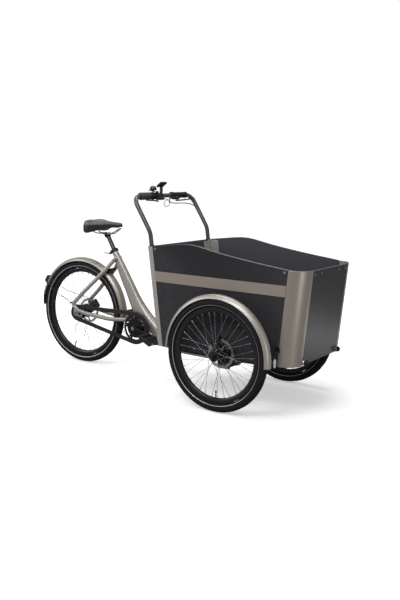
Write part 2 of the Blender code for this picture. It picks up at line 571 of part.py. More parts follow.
# The side panel's top edge: a crest behind the middle, then a long sweep down to the front corner.
crest = [(-0.495, 0.8370), (-0.41, 0.8480), (-0.34, 0.8570), (-0.28, 0.8625), (-0.235, 0.8625), (-0.19, 0.8570), (-0.14, 0.8475), (-0.08, 0.8360), (0.0, 0.8230), (0.10, 0.8090),
         (0.20, 0.7960), (0.30, 0.7850)]
z_lo = BOX_BOTTOM
side_outline = [(rear_x(z_lo) + POST / 2 + GAP, z_lo)]
side_outline += [(rear_x(BOX_REAR_TOP) + POST / 2 + GAP, 0.8370)] + crest[1:]
side_outline += [(FRONT_TOP_X - CORNER_R - GAP, BOX_FRONT_TOP), (FRONT_BOTTOM_X - CORNER_R - GAP, z_lo)]
for side, s in (("right", -1), ("left", 1)):
    y0, y1 = s * BOX_HALF_W, s * (BOX_HALF_W - PANEL)
    pts = [W(x, y0, z) for x, z in side_outline]
    add(f"side_panel_{side}", extruded(pts, Vector((0, y1 - y0, 0))), "panel", smooth=False)

    # rounded front corner: a bent sheet that follows the raked front
    rings = []
    for z in (BOX_BOTTOM, BOX_FRONT_TOP):
        cx, cy = front_x(z) - CORNER_R, s * (BOX_HALF_W - CORNER_R)
        ring = []
        for k in range(9):
            q = math.pi / 2 * k / 8
            ring.append(W(cx + CORNER_R * math.cos(q), cy + s * CORNER_R * math.sin(q), z))
        for k in range(8, -1, -1):
            q = math.pi / 2 * k / 8
            ring.append(W(cx + (CORNER_R - 0.004) * math.cos(q), cy + s * (CORNER_R - 0.004) * math.sin(q), z))
        rings.append(ring)
    add(f"front_corner_{side}", loft(rings), "paint")

    # raked square rear post with a socket for the handlebar leg
    y = s * 0.286
    h = POST / 2
    rings = []
    for z in (BOX_BOTTOM, BOX_REAR_TOP - 0.001):
        x = rear_x(z)
        rings.append([W(x - h, y - h, z), W(x + h, y - h, z), W(x + h, y + h, z), W(x - h, y + h, z)])
    post = add(f"rear_post_{side}", loft(rings), "paint", smooth=False)
    dpost = Vector((REAR_TOP_X - REAR_BOTTOM_X, 0, BOX_REAR_TOP - BOX_BOTTOM)).normalized()
    ptop = W(REAR_TOP_X, y, BOX_REAR_TOP)
    sock = add(f"post_socket_{side}", rod(ptop + dpost * 0.03, ptop - dpost * 0.125, BAR_R * 1.035 + 0.0003, 12), "paint", helper=True)
    boolean(post, sock, "DIFFERENCE")

y_in = 0.286 - POST / 2 - GAP
z0, z1 = BOX_BOTTOM, BOX_REAR_TOP
pts = [W(rear_x(z0) - 0.006, -y_in, z0), W(rear_x(z0) + 0.006, -y_in, z0), W(rear_x(z1) + 0.006, -y_in, z1), W(rear_x(z1) - 0.006, -y_in, z1)]
add("rear_panel", extruded(pts, Vector((0, 2 * y_in, 0))), "panel", smooth=False)
y_in = BOX_HALF_W - CORNER_R - GAP
z0, z1 = BOX_BOTTOM + 0.004, BOX_FRONT_TOP - 0.004
pts = [W(front_x(z0) - 0.010, -y_in, z0), W(front_x(z0) + 0.0005, -y_in, z0), W(front_x(z1) + 0.0005, -y_in, z1), W(front_x(z1) - 0.010, -y_in, z1)]
add("front_panel", extruded(pts, Vector((0, 2 * y_in, 0))), "panel", smooth=False)

FLOOR_Z0, FLOOR_Z1 = 0.2860, 0.2980
fy = BOX_HALF_W - PANEL - GAP
fx0, fx1 = rear_x(FLOOR_Z0) + 0.0165, front_x(FLOOR_Z0) - 0.0110
cut = CORNER_R - 0.004 - GAP
outline = [W(fx0, -fy + 0.020, FLOOR_Z0), W(fx0, fy - 0.020, FLOOR_Z0), W(fx0 + 0.0035, fy - 0.020, FLOOR_Z0), W(fx0 + 0.0035, fy, FLOOR_Z0)]
fcx, fcy = front_x(FLOOR_Z0) - CORNER_R, BOX_HALF_W - CORNER_R
arc = [(fcx + (cut - 0.001) * math.cos(q), fcy + (cut - 0.001) * math.sin(q)) for q in [math.radians(76 - 12.4 * k) for k in range(6)]]
outline += [W(fcx + 0.001, fy, FLOOR_Z0)] + [W(x, min(yy, fy), FLOOR_Z0) for x, yy in arc] + [W(fx1, fcy - 0.001, FLOOR_Z0)]
outline += [W(fx1, -fcy + 0.001, FLOOR_Z0)] + [W(x, -min(yy, fy), FLOOR_Z0) for x, yy in arc[::-1]] + [W(fcx + 0.001, -fy, FLOOR_Z0)]
outline += [W(fx0 + 0.0035, -fy, FLOOR_Z0), W(fx0 + 0.0035, -fy + 0.020, FLOOR_Z0)]
add("box_floor", extruded(outline, Vector((0, 0, FLOOR_Z1 - FLOOR_Z0))), "panel", smooth=False)

# chassis under the floor: two rails, two cross members and the pivot sleeve, welded into one frame
RAIL_Y = 0.240
cz0, cz1 = 0.2520, 0.2850
chassis = add("chassis_frame", block(W(-0.400, -RAIL_Y - 0.0125, cz0), W(0.330, -RAIL_Y + 0.0125, cz1)), "black", smooth=False)
parts_form = [
    block(W(-0.400, RAIL_Y - 0.0125, cz0), W(0.330, RAIL_Y + 0.0125, cz1)),
    block(W(PIVOT_X - 0.020, -RAIL_Y, cz0 + 0.002), W(PIVOT_X + 0.020, RAIL_Y, cz1 - 0.002)),
    block(W(0.270, -RAIL_Y, cz0 + 0.004), W(0.300, RAIL_Y, cz1 - 0.004)),
    block(W(-0.390, -RAIL_Y, cz0 + 0.004), W(-0.360, RAIL_Y, cz1 - 0.004)),
    turned([(0.0, 0.2365), (0.036, 0.2365), (0.036, 0.2846), (0.0, 0.2846)], W(PIVOT_X, 0, 0), 20, axis="Z", closed=False),
]
for i, bm in enumerate(parts_form):
    boolean(chassis, add(f"chassis_form_{i}", bm, "black", helper=True), "UNION")
sleeve_cut = add("sleeve_bore_cutter", rod(W(PIVOT_X, 0, 0.22), W(PIVOT_X, 0, 0.2755), 0.0126, 16), "black", helper=True)
boolean(chassis, sleeve_cut, "DIFFERENCE")

boolean(chassis, add("axle_beam_form", block(W(-0.0215, -0.3170, 0.2215), W(0.0215, 0.3170, 0.2560)), "black", helper=True), "UNION")
i = 0
for s in (-1, 1):
    for bm in (
        block(W(-0.036, min(s * 0.3065, s * 0.3190), 0.2200), W(0.036, max(s * 0.3065, s * 0.3190), 0.3450)),
        turned([(0.0, s * 0.3100), (0.0130, s * 0.3100), (0.0130, s * 0.3375), (SPINDLE_R, s * 0.3375), (SPINDLE_R, s * 0.4365), (0.0115, s * 0.4365), (0.0115, s * 0.4430), (0.0, s * 0.4430)], W(0, 0, FRONT_R), 14, closed=False),
    ):
        boolean(chassis, add(f"axle_form_{i}", bm, "black", helper=True), "UNION")
        i += 1

for side, s in (("right", -1), ("left", 1)):
    # brake caliper: a block over the top rear of the rotor, slotted for the disc
    q = math.radians(118)
    centre = W(0.070 * math.cos(q), 0, FRONT_R + 0.070 * math.sin(q))
    rot = Matrix.Rotation(-(q - math.pi / 2), 4, "Y")
    ya, yb = sorted((s * 0.3200, s * 0.3580))
    cal = add(f"brake_caliper_{side}", block((-0.030, ya, -0.022), (0.030, yb, 0.024), matrix=Matrix.Translation(Vector((centre.x, 0, centre.z))) @ rot), "black", smooth=False)
    bv = cal.modifiers.new("edges", "BEVEL")
    bv.width = 0.004
    bv.segments = 1
    yc = s * (TRACK_HALF - 0.0455)
    slot = add(f"caliper_{side}_slot", turned([(0.0, yc - 0.0026), (ROTOR_R + 0.0025, yc - 0.0026), (ROTOR_R + 0.0025, yc + 0.0026), (0.0, yc + 0.0026)], W(0, 0, FRONT_R), 24, closed=False), "black", helper=True)
    boolean(cal, slot, "DIFFERENCE")

add("battery_pack", block(W(-0.395, -0.170, 0.2985), W(-0.300, 0.170, 0.4150)), "plastic", smooth=False)
bv = bpy.data.objects["battery_pack"].modifiers.new("edges", "BEVEL")
bv.width = 0.010
bv.segments = 2

# ---------------------------------------------------------------- handlebar and controls
dpost = Vector((REAR_TOP_X - REAR_BOTTOM_X, 0, BOX_REAR_TOP - BOX_BOTTOM)).normalized()


def bar_side(s):
    low = W(REAR_TOP_X, s * BAR_HALF, BOX_REAR_TOP) - dpost * 0.115
    bend = W(REAR_TOP_X, s * BAR_HALF, BOX_REAR_TOP) + dpost * 0.074
    return [low, bend, W(BAR_X, s * BAR_HALF, BAR_Z)]


right, left = bar_side(-1), bar_side(1)
bar_path = filleted([right[0], right[1], right[2], left[2], left[1], left[0]], [0.11, 0.058, 0.058, 0.11], 6)
tube("handlebar", bar_path, BAR_R, "bar", 3)


def sleeve(name, y0, y1, r_in, profile, mat, segments=16):
    """A part that goes round the crossbar: profile is the outside, as (radius, share of the length)."""
    lo, hi = sorted((y0, y1))
    pts = [(r_in, lo)] + [(r, lo + (hi - lo) * t) for r, t in profile] + [(r_in, hi)]
    return add(name, turned(pts, W(BAR_X, 0, BAR_Z), segments), mat, origin=W(BAR_X, (lo + hi) / 2, BAR_Z))


R_IN = BAR_R + 0.0004
sleeve("grip_right", -0.2220, -0.1400, R_IN, [(0.0200, 0.0), (0.0215, 0.12), (0.0215, 0.88), (0.0200, 1.0)], "grip")
sleeve("grip_left", 0.2250, 0.0980, R_IN, [(0.0185, 0.0), (0.0175, 0.35), (0.0175, 0.65), (0.0190, 1.0)], "grip")
sleeve("twist_shifter", -0.1360, -0.0980, R_IN, [(0.0215, 0.0), (0.0225, 0.30), (0.0195, 0.85), (0.0180, 1.0)], "plastic")
for side, s in (("right", -1), ("left", 1)):
    yc = s * 0.0850
    ring = sleeve(f"lever_clamp_{side}", yc - 0.0100, yc + 0.0100, R_IN, [(0.0200, 0.0), (0.0200, 1.0)], "black")
    y_lo, y_hi = sorted((yc + s * 0.0240, yc - s * 0.0420))
    boolean(ring, add(f"lever_{side}_neck_form", block(W(BAR_X + 0.0120, yc - 0.0085, BAR_Z - 0.0215), W(BAR_X + 0.0300, yc + 0.0085, BAR_Z - 0.0080)), "black", helper=True), "UNION")
    body = block(W(BAR_X + 0.0225, y_lo, BAR_Z - 0.0230), W(BAR_X + 0.0440, y_hi, BAR_Z - 0.0070))
    boolean(ring, add(f"lever_{side}_body_form", body, "black", helper=True), "UNION")
    # blade: swings on a pin at the outer end of the body, from beside the grip towards the bar
    pivot = W(BAR_X + 0.0310, yc + s * 0.0160, BAR_Z - 0.0285)
    path = filleted([pivot + Vector((-0.006, -s * 0.014, 0)), pivot + Vector((0.012, s * 0.018, 0)), pivot + Vector((0.034, s * 0.060, 0.006)), pivot + Vector((0.027, s * 0.140, 0.010))], [0.03, 0.06], 2)
    bm = swept(path, [(-0.0060, -0.0045), (0.0060, -0.0045), (0.0060, 0.0045), (-0.0060, 0.0045)], up=Vector((0, 0, 1)))
    add(f"brake_lever_{side}", bm, "black", origin=pivot)

# bell: a clamp ring, a bracket reaching out over the shifter, a stem and a dome; its thumb lever turns on the stem
BELL = W(BAR_X + 0.004, -0.1060, 0.0)
bell = sleeve("bell", -0.0710, -0.0610, R_IN, [(0.0180, 0.0), (0.0180, 1.0)], "plastic", 14)
dome = [(0.0, 1.1275), (0.0040, 1.1275), (0.0040, 1.1372), (0.0175, 1.1372), (0.0205, 1.1400), (0.0205, 1.1470), (0.0175, 1.1560), (0.0100, 1.1615), (0.0, 1.1630)]
for i, bm in enumerate((
    block(W(BAR_X - 0.0040, -0.0705, BAR_Z + 0.0160), W(BAR_X + 0.0120, -0.0615, 1.1310)),
    block(W(BAR_X - 0.0040, -0.1120, 1.1275), W(BAR_X + 0.0120, -0.0615, 1.1310)),
    turned(dome, BELL, 14, axis="Z", closed=False),
)):
    boolean(bell, add(f"bell_form_{i}", bm, "plastic", helper=True), "UNION")
arm = add("bell_lever", turned([(0.0046, 1.1318), (0.0090, 1.1318), (0.0090, 1.1364), (0.0046, 1.1364)], BELL, 14, axis="Z"), "plastic", origin=BELL + Vector((0, 0, 1.1340)))
boolean(arm, add("bell_lever_form", block(BELL + Vector((-0.0340, -0.0045, 1.1322)), BELL + Vector((-0.0070, 0.0045, 1.1360))), "plastic", helper=True), "UNION")

# display on a short stem, tipped towards the rider, with one round button in its face
DISPLAY = W(BAR_X + 0.008, -0.0300, 1.1700)
tip = Matrix.Translation(DISPLAY) @ Matrix.Rotation(math.radians(-38), 4, "Y")
disp = sleeve("display", -0.0360, -0.0240, R_IN, [(0.0180, 0.0), (0.0180, 1.0)], "plastic", 14)
for i, bm in enumerate((
    block(W(BAR_X - 0.0020, -0.0350, BAR_Z + 0.0150), W(BAR_X + 0.0140, -0.0250, 1.1660)),
    block((-0.0210, -0.0300, -0.0070), (0.0210, 0.0300, 0.0070), matrix=tip),
)):
    boolean(disp, add(f"display_form_{i}", bm, "plastic", helper=True), "UNION")
face_n = (tip.to_3x3() @ Vector((0, 0, 1))).normalized()
seat_at = tip @ Vector((-0.0135, 0.0, 0.0070))
recess = add("display_recess", rod(seat_at - face_n * 0.0040, seat_at + face_n * 0.01, 0.0056, 14), "plastic", helper=True)
boolean(disp, recess, "DIFFERENCE")
add("display_button", rod(seat_at - face_n * 0.0022, seat_at + face_n * 0.0014, 0.0051, 14), "grip", origin=seat_at)

# ---------------------------------------------------------------- parenting: each moving group hangs from an empty on its axis
# A brake hose and a shift cable, both held at each end: smooth curves through their route's points.
def cord(name, route, diameter, step, mat, res):
    p = [Vector(q) for q in route]
    p = [p[0] * 2 - p[1]] + p + [p[-1] * 2 - p[-2]]
    fine = []
    for i in range(1, len(p) - 2):
        a, b, c, d = p[i - 1], p[i], p[i + 1], p[i + 2]
        for k in range(24):
            t = k / 24
            fine.append(0.5 * ((2 * b) + (-a + c) * t + (2 * a - 5 * b + 4 * c - d) * t * t + (-a + 3 * b - 3 * c + d) * t ** 3))
    fine.append(p[-2])
    total = sum((b - a).length for a, b in zip(fine, fine[1:]))
    count = round(total / step)
    out, run, want = [fine[0]], 0.0, total / count
    for a, b in zip(fine, fine[1:]):
        leg = (b - a).length
        while run + leg >= want * len(out) and len(out) < count:
            out.append(a + (b - a) * ((want * len(out) - run) / leg))
        run += leg
    out.append(fine[-1])
    return tube(name, out, diameter / 2, mat, res)


def at_bar(x, y, z):
    return W(BAR_X + x, y, BAR_Z + z)


HOSE_ROUTE = [at_bar(0.0285, 0.0425, -0.0150), at_bar(0.0284, 0.0340, -0.0151), at_bar(0.0270, 0.0270, -0.0220), at_bar(0.0262, 0.0290, -0.0340), at_bar(0.0268, 0.0450, -0.0425),
              at_bar(0.0290, 0.0800, -0.0455), at_bar(0.0320, 0.1300, -0.0465), at_bar(0.0365, 0.1800, -0.0485), at_bar(0.0415, 0.2250, -0.0545), at_bar(0.0462, 0.2560, -0.0655),
              at_bar(0.0476, 0.2722, -0.0720)]
CABLE_ROUTE = [at_bar(0.0300, -0.0425, -0.0150), at_bar(0.0300, -0.0300, -0.0152), at_bar(0.0302, -0.0120, -0.0200), at_bar(0.0306, 0.0080, -0.0290), at_bar(0.0312, 0.0195, -0.0410),
               at_bar(0.0320, 0.0150, -0.0545), at_bar(0.0328, -0.0060, -0.0625), at_bar(0.0338, -0.0285, -0.0595), at_bar(0.0348, -0.0400, -0.0475), at_bar(0.0358, -0.0340, -0.0335),
               at_bar(0.0368, -0.0150, -0.0235), at_bar(0.0376, 0.0100, -0.0172), at_bar(0.0380, 0.0290, -0.0151), at_bar(0.0380, 0.0425, -0.0150)]
cord("brake_hose", HOSE_ROUTE, 0.0050, 0.0110, "plastic", 2)
cord("shift_cable", CABLE_ROUTE, 0.0036, 0.0080, "steel", 2)


def empty(name, at, parent=None):
    e = bpy.data.objects.new(name, None)
    e.empty_display_size = 0.05
    bpy.context.scene.collection.objects.link(e)
    e.location = at
    if parent:
        attach(e, parent)
    EMPTIES[name] = e
    return e


def attach(ob, parent):
    bpy.context.view_layer.update()
    world = ob.matrix_world.copy()
    ob.parent = parent
    ob.matrix_parent_inverse = parent.matrix_world.inverted()
    ob.matrix_world = world


frame_e = empty("axis_frame", (0, 0, 0))
steer_e = empty("axis_steering", W(PIVOT_X, 0, 0.2), frame_e)
groups = {
    empty("axis_front_right_wheel", W(0, -TRACK_HALF, FRONT_R), steer_e): ["front_right_tyre", "front_right_rim", "front_right_hub_and_spokes", "front_right_brake_rotor"],
    empty("axis_front_left_wheel", W(0, TRACK_HALF, FRONT_R), steer_e): ["front_left_tyre", "front_left_rim", "front_left_hub_and_spokes", "front_left_brake_rotor"],
    empty("axis_rear_wheel", REAR, frame_e): ["rear_tyre", "rear_rim", "rear_hub_and_spokes", "rear_brake_rotor"],
    empty("axis_crank", BB, frame_e): ["crank_right", "crank_left", "chainring"],
    empty("axis_seat_post", top, frame_e): ["seat_post", "saddle_rails", "saddle"],
    steer_e: ["box_floor", "side_panel_right", "side_panel_left", "front_panel", "rear_panel", "front_corner_right", "front_corner_left", "rear_post_right", "rear_post_left",
              "chassis_frame", "brake_caliper_right", "brake_caliper_left", "battery_pack", "handlebar", "grip_right", "grip_left", "lever_clamp_right", "lever_clamp_left",
              "front_mudguard_right", "front_mudguard_left", "twist_shifter", "brake_lever_right", "brake_lever_left",
              "bell", "bell_lever", "display", "display_button", "brake_hose", "shift_cable"],
    frame_e: ["main_frame", "rear_axle", "rear_mudguard", "rear_light", "motor_housing",
              "drive_chain", "chain_guard", "rear_brake_caliper", "seat_clamp", "clamp_lever", "rear_sprocket"],
}
for parent, names in groups.items():
    for n in names:
        attach(bpy.data.objects[n], parent)
for n in ("pedal_right", "pedal_left"):
    attach(bpy.data.objects[n], EMPTIES["axis_crank"])
bpy.context.view_layer.update()
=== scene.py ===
"""Looks for the three-wheeled cargo cycle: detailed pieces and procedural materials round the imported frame."""
import math
import random

import bmesh
import bpy
from mathutils import Matrix, Vector, noise


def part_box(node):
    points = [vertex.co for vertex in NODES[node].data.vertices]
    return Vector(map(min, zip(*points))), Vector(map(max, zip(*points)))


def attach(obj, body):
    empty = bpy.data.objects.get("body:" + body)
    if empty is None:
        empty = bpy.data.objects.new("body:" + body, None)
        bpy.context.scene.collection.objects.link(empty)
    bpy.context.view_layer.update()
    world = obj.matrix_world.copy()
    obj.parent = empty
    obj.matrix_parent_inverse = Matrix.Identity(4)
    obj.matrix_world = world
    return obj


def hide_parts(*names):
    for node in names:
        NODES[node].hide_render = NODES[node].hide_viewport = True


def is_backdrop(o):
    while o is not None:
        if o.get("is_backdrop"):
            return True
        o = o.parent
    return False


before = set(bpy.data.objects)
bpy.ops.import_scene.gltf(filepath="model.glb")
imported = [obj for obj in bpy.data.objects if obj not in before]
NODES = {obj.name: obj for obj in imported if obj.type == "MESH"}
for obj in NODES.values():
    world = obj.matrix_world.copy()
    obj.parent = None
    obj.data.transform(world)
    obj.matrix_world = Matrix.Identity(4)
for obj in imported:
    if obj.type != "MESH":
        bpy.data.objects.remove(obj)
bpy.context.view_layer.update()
random.seed(7)

FX = 0.5842


def W(x, y=0.0, z=0.0):
    """A point given from the front axle."""
    return Vector((x + FX, y, z))


# ================================================================ camera, light, floor
scene = bpy.context.scene
cam_data = bpy.data.cameras.new("camera")
cam = bpy.data.objects.new("camera", cam_data)
scene.collection.objects.link(cam)
cam_data.lens = 48.0
cam_data.sensor_width = 36.0
r, u, d = Vector((0.82875, 0.55921, 0.02157)), Vector((-0.11194, 0.12788, 0.98545)), Vector((-0.54831, 0.81911, -0.16858))
rot = Matrix((r, u, -d)).transposed()
cam.matrix_world = Matrix.Translation(Vector((2.19929 + FX, -3.83948, 1.29766))) @ rot.to_4x4()
cam_data.clip_end = 60
scene.camera = cam

scene.view_settings.view_transform = "Standard"
scene.view_settings.look = "None"
world = bpy.data.worlds.new("studio")
scene.world = world
world.use_nodes = True
wt = world.node_tree
back = wt.nodes["Background"]
back.inputs["Color"].default_value = (1.0, 1.0, 1.0, 1)
back.inputs["Strength"].default_value = 0.36
seen = wt.nodes.new("ShaderNodeBackground")
seen.inputs["Color"].default_value = (1.0, 1.0, 1.0, 1)
seen.inputs["Strength"].default_value = 1.0
pick = wt.nodes.new("ShaderNodeMixShader")
rays = wt.nodes.new("ShaderNodeLightPath")
wt.links.new(rays.outputs["Is Camera Ray"], pick.inputs[0])
wt.links.new(back.outputs[0], pick.inputs[1])
wt.links.new(seen.outputs[0], pick.inputs[2])
wt.links.new(pick.outputs[0], next(n for n in wt.nodes if n.type == "OUTPUT_WORLD").inputs[0])


def area(name, loc, target, size, power, color=(1, 1, 1)):
    li = bpy.data.lights.new(name, "AREA")
    li.shape = "RECTANGLE"
    li.size, li.size_y = size
    li.energy = power
    li.color = color
    ob = bpy.data.objects.new(name, li)
    ob.location = loc
    ob.rotation_euler = (Vector(target) - Vector(loc)).to_track_quat("-Z", "Y").to_euler()
    scene.collection.objects.link(ob)
    return ob


area("key", (0.4, -3.6, 3.8), (0.1, 0, 0.4), (2.6, 1.6), 84)
area("left_fill", (-3.6, -2.4, 2.2), (-0.3, 0, 0.4), (1.6, 2.4), 44)
area("top", (0.0, 0.4, 4.2), (0, 0, 0.3), (3.2, 2.0), 62)
area("floor_card", (1.76, 1.18, 0.004), (1.76, 1.181, 1.0), (0.85, 0.95), 3.3)
area("front_rim", (3.3, -1.35, 0.55), (1.0, -0.28, 0.50), (0.40, 1.1), 9)


# ================================================================ material helpers
def link(nt, a, b):
    nt.links.new(a, b)


def base_material(name, rgb, rough=0.4, metal=0.0, coat=0.0, coat_rough=0.08, spec=0.5, sheen=0.0,
                  tone=0.08, tone_scale=6.0, rough_var=0.06, rough_scale=40.0,
                  bump=0.0, bump_scale=300.0, bump_detail=2.0, bump_dist=0.001, stretch=(1, 1, 1), kind="noise",
                  wear=0.0, wear_rgb=None):
    """A Principled material with a slow drift in tone, roughness that varies, and a fine surface texture."""
    m = bpy.data.materials.new(name)
    m.use_nodes = True
    nt = m.node_tree
    b = nt.nodes["Principled BSDF"]
    b.inputs["Metallic"].default_value = metal
    b.inputs["Coat Weight"].default_value = coat
    b.inputs["Coat Roughness"].default_value = coat_rough
    b.inputs["Specular IOR Level"].default_value = spec
    b.inputs["Sheen Weight"].default_value = sheen
    tc = nt.nodes.new("ShaderNodeTexCoord")
    mp = nt.nodes.new("ShaderNodeMapping")
    mp.inputs["Scale"].default_value = stretch
    link(nt, tc.outputs["Object"], mp.inputs["Vector"])
    n1 = nt.nodes.new("ShaderNodeTexNoise")
    n1.inputs["Scale"].default_value = tone_scale
    n1.inputs["Detail"].default_value = 4
    link(nt, tc.outputs["Object"], n1.inputs["Vector"])
    ramp = nt.nodes.new("ShaderNodeValToRGB")
    lo = [c * (1 - tone) for c in rgb]
    hi = [min(1, c * (1 + tone)) for c in rgb]
    ramp.color_ramp.elements[0].position = 0.3
    ramp.color_ramp.elements[0].color = (*lo, 1)
    ramp.color_ramp.elements[1].position = 0.7
    ramp.color_ramp.elements[1].color = (*hi, 1)
    link(nt, n1.outputs["Fac"], ramp.inputs["Fac"])
    colour = ramp.outputs["Color"]
    if wear > 0:
        geo = nt.nodes.new("ShaderNodeNewGeometry")
        n3 = nt.nodes.new("ShaderNodeTexNoise")
        n3.inputs["Scale"].default_value = 55
        n3.inputs["Detail"].default_value = 6
        link(nt, tc.outputs["Object"], n3.inputs["Vector"])
        edge = nt.nodes.new("ShaderNodeMapRange")
        edge.inputs["From Min"].default_value = 0.56
        edge.inputs["From Max"].default_value = 0.70
        link(nt, geo.outputs["Pointiness"], edge.inputs["Value"])
        mul = nt.nodes.new("ShaderNodeMath")
        mul.operation = "MULTIPLY"
        link(nt, edge.outputs["Result"], mul.inputs[0])
        link(nt, n3.outputs["Fac"], mul.inputs[1])
        sc = nt.nodes.new("ShaderNodeMath")
        sc.operation = "MULTIPLY"
        sc.inputs[1].default_value = wear
        link(nt, mul.outputs[0], sc.inputs[0])
        mix = nt.nodes.new("ShaderNodeMix")
        mix.data_type = "RGBA"
        link(nt, sc.outputs[0], mix.inputs["Factor"])
        link(nt, colour, mix.inputs["A"])
        mix.inputs["B"].default_value = (*(wear_rgb or [min(1, c * 1.8 + 0.05) for c in rgb]), 1)
        colour = mix.outputs["Result"]
    link(nt, colour, b.inputs["Base Color"])
    n2 = nt.nodes.new("ShaderNodeTexNoise")
    n2.inputs["Scale"].default_value = rough_scale
    n2.inputs["Detail"].default_value = 3
    link(nt, mp.outputs["Vector"], n2.inputs["Vector"])
    mr = nt.nodes.new("ShaderNodeMapRange")
    mr.inputs["To Min"].default_value = max(0.02, rough - rough_var)
    mr.inputs["To Max"].default_value = min(1.0, rough + rough_var)
    link(nt, n2.outputs["Fac"], mr.inputs["Value"])
    link(nt, mr.outputs["Result"], b.inputs["Roughness"])
    if bump > 0:
        if kind == "voronoi":
            t = nt.nodes.new("ShaderNodeTexVoronoi")
            t.inputs["Scale"].default_value = bump_scale
            out = t.outputs["Distance"]
        elif kind == "wave":
            t = nt.nodes.new("ShaderNodeTexWave")
            t.inputs["Scale"].default_value = bump_scale
            t.inputs["Distortion"].default_value = 1.2
            t.inputs["Detail"].default_value = 2
            out = t.outputs["Fac"]
        else:
            t = nt.nodes.new("ShaderNodeTexNoise")
            t.inputs["Scale"].default_value = bump_scale
            t.inputs["Detail"].default_value = bump_detail
            out = t.outputs["Fac"]
        link(nt, mp.outputs["Vector"], t.inputs["Vector"])
        bp = nt.nodes.new("ShaderNodeBump")
        bp.inputs["Strength"].default_value = bump
        bp.inputs["Distance"].default_value = bump_dist
        link(nt, out, bp.inputs["Height"])
        link(nt, bp.outputs["Normal"], b.inputs["Normal"])
        if coat > 0:
            pass
    return m


def srgb(r8, g8, b8):
    out = []
    for c in (r8, g8, b8):
        c = c / 255.0
        out.append(c / 12.92 if c <= 0.04045 else ((c + 0.055) / 1.055) ** 2.4)
    return out


PAINT = base_material("champagne_paint", srgb(170, 161, 150), rough=0.41, metal=0.62, coat=0.20, coat_rough=0.24, tone=0.04, tone_scale=3.0, bump=0.05, bump_scale=1400, bump_dist=0.0002, wear=0.2, wear_rgb=srgb(176, 168, 158))
FRAMEP = base_material("frame_champagne_paint", srgb(178, 173, 165), rough=0.41, metal=0.62, coat=0.20, coat_rough=0.24, tone=0.04, tone_scale=3.0, bump=0.05, bump_scale=1400, bump_dist=0.0002, wear=0.2, wear_rgb=srgb(176, 168, 158))
BAND = base_material("champagne_band", srgb(163, 153, 143), rough=0.44, metal=0.40, coat=0.2, coat_rough=0.26, tone=0.05, tone_scale=2.0, bump=0.04, bump_scale=1200, bump_dist=0.0002)
POSTM = base_material("post_paint", srgb(184, 181, 175), rough=0.40, metal=0.45, coat=0.4, tone=0.06, bump=0.05, bump_scale=1000, bump_dist=0.0002, wear=0.3, wear_rgb=srgb(186, 183, 176))
PANEL = base_material("charcoal_laminate", srgb(46, 45, 49), rough=0.52, metal=0.0, spec=0.12, tone=0.05, tone_scale=2.2, rough_var=0.03, rough_scale=9, bump=0.05, bump_scale=900, bump_detail=4, bump_dist=0.0003, wear=0.5, wear_rgb=srgb(110, 108, 108))
FRONTP = base_material("charcoal_front", srgb(31, 30, 35), rough=0.34, metal=0.0, spec=0.30, tone=0.04, tone_scale=2.0, rough_var=0.02, rough_scale=9, bump=0.10, bump_scale=900, bump_detail=4, bump_dist=0.0003, wear=0.4, wear_rgb=srgb(110, 108, 108))


def lighter_inside(mat, centre, rgb):
    """The faces that look toward the middle of the box take a second colour."""
    nt = mat.node_tree
    b = nt.nodes["Principled BSDF"]
    old = b.inputs["Base Color"].links[0].from_socket
    geo = nt.nodes.new("ShaderNodeNewGeometry")
    away = nt.nodes.new("ShaderNodeVectorMath")
    away.operation = "SUBTRACT"
    away.inputs[1].default_value = centre
    link(nt, geo.outputs["Position"], away.inputs[0])
    facing = nt.nodes.new("ShaderNodeVectorMath")
    facing.operation = "DOT_PRODUCT"
    link(nt, away.outputs[0], facing.inputs[0])
    link(nt, geo.outputs["True Normal"], facing.inputs[1])
    less = nt.nodes.new("ShaderNodeMath")
    less.operation = "LESS_THAN"
    less.inputs[1].default_value = 0.0
    link(nt, facing.outputs["Value"], less.inputs[0])
    mix = nt.nodes.new("ShaderNodeMix")
    mix.data_type = "RGBA"
    link(nt, less.outputs[0], mix.inputs["Factor"])
    link(nt, old, mix.inputs["A"])
    mix.inputs["B"].default_value = (*rgb, 1)
    link(nt, mix.outputs["Result"], b.inputs["Base Color"])


lighter_inside(PANEL, W(-0.02, 0, 0.55), srgb(80, 80, 86))
lighter_inside(FRONTP, W(-0.02, 0, 0.55), srgb(80, 80, 86))
EDGING = base_material("edging_aluminium", srgb(120, 120, 126), rough=0.35, metal=0.9, tone=0.08, tone_scale=20, bump=0.15, bump_scale=220, stretch=(0.15, 1, 1), bump_dist=0.0003)
RUBBER = base_material("tyre_rubber", srgb(27, 27, 30), rough=0.66, spec=0.20, tone=0.14, tone_scale=18, rough_var=0.10, rough_scale=60, bump=0.35, bump_scale=700, bump_detail=4, bump_dist=0.0005)
STRIPE = base_material("reflective_stripe", srgb(188, 190, 194), rough=0.38, metal=0.25, spec=0.6, tone=0.10, tone_scale=60, bump=0.3, bump_scale=1500, bump_dist=0.0002, kind="voronoi")
RIM = base_material("rim_black", srgb(34, 34, 37), rough=0.34, metal=0.5, coat=0.2, tone=0.10, tone_scale=12, bump=0.10, bump_scale=400, bump_dist=0.0003, wear=0.35, wear_rgb=srgb(110, 110, 112))
BLACK = base_material("black_anodised", srgb(30, 30, 33), rough=0.36, metal=0.6, tone=0.12, tone_scale=20, bump=0.12, bump_scale=500, bump_dist=0.0003, wear=0.5, wear_rgb=srgb(120, 120, 122))
BLACKP = base_material("black_moulded_plastic", srgb(30, 30, 33), rough=0.48, spec=0.45, tone=0.12, tone_scale=14, bump=0.30, bump_scale=900, bump_dist=0.0004, kind="voronoi")
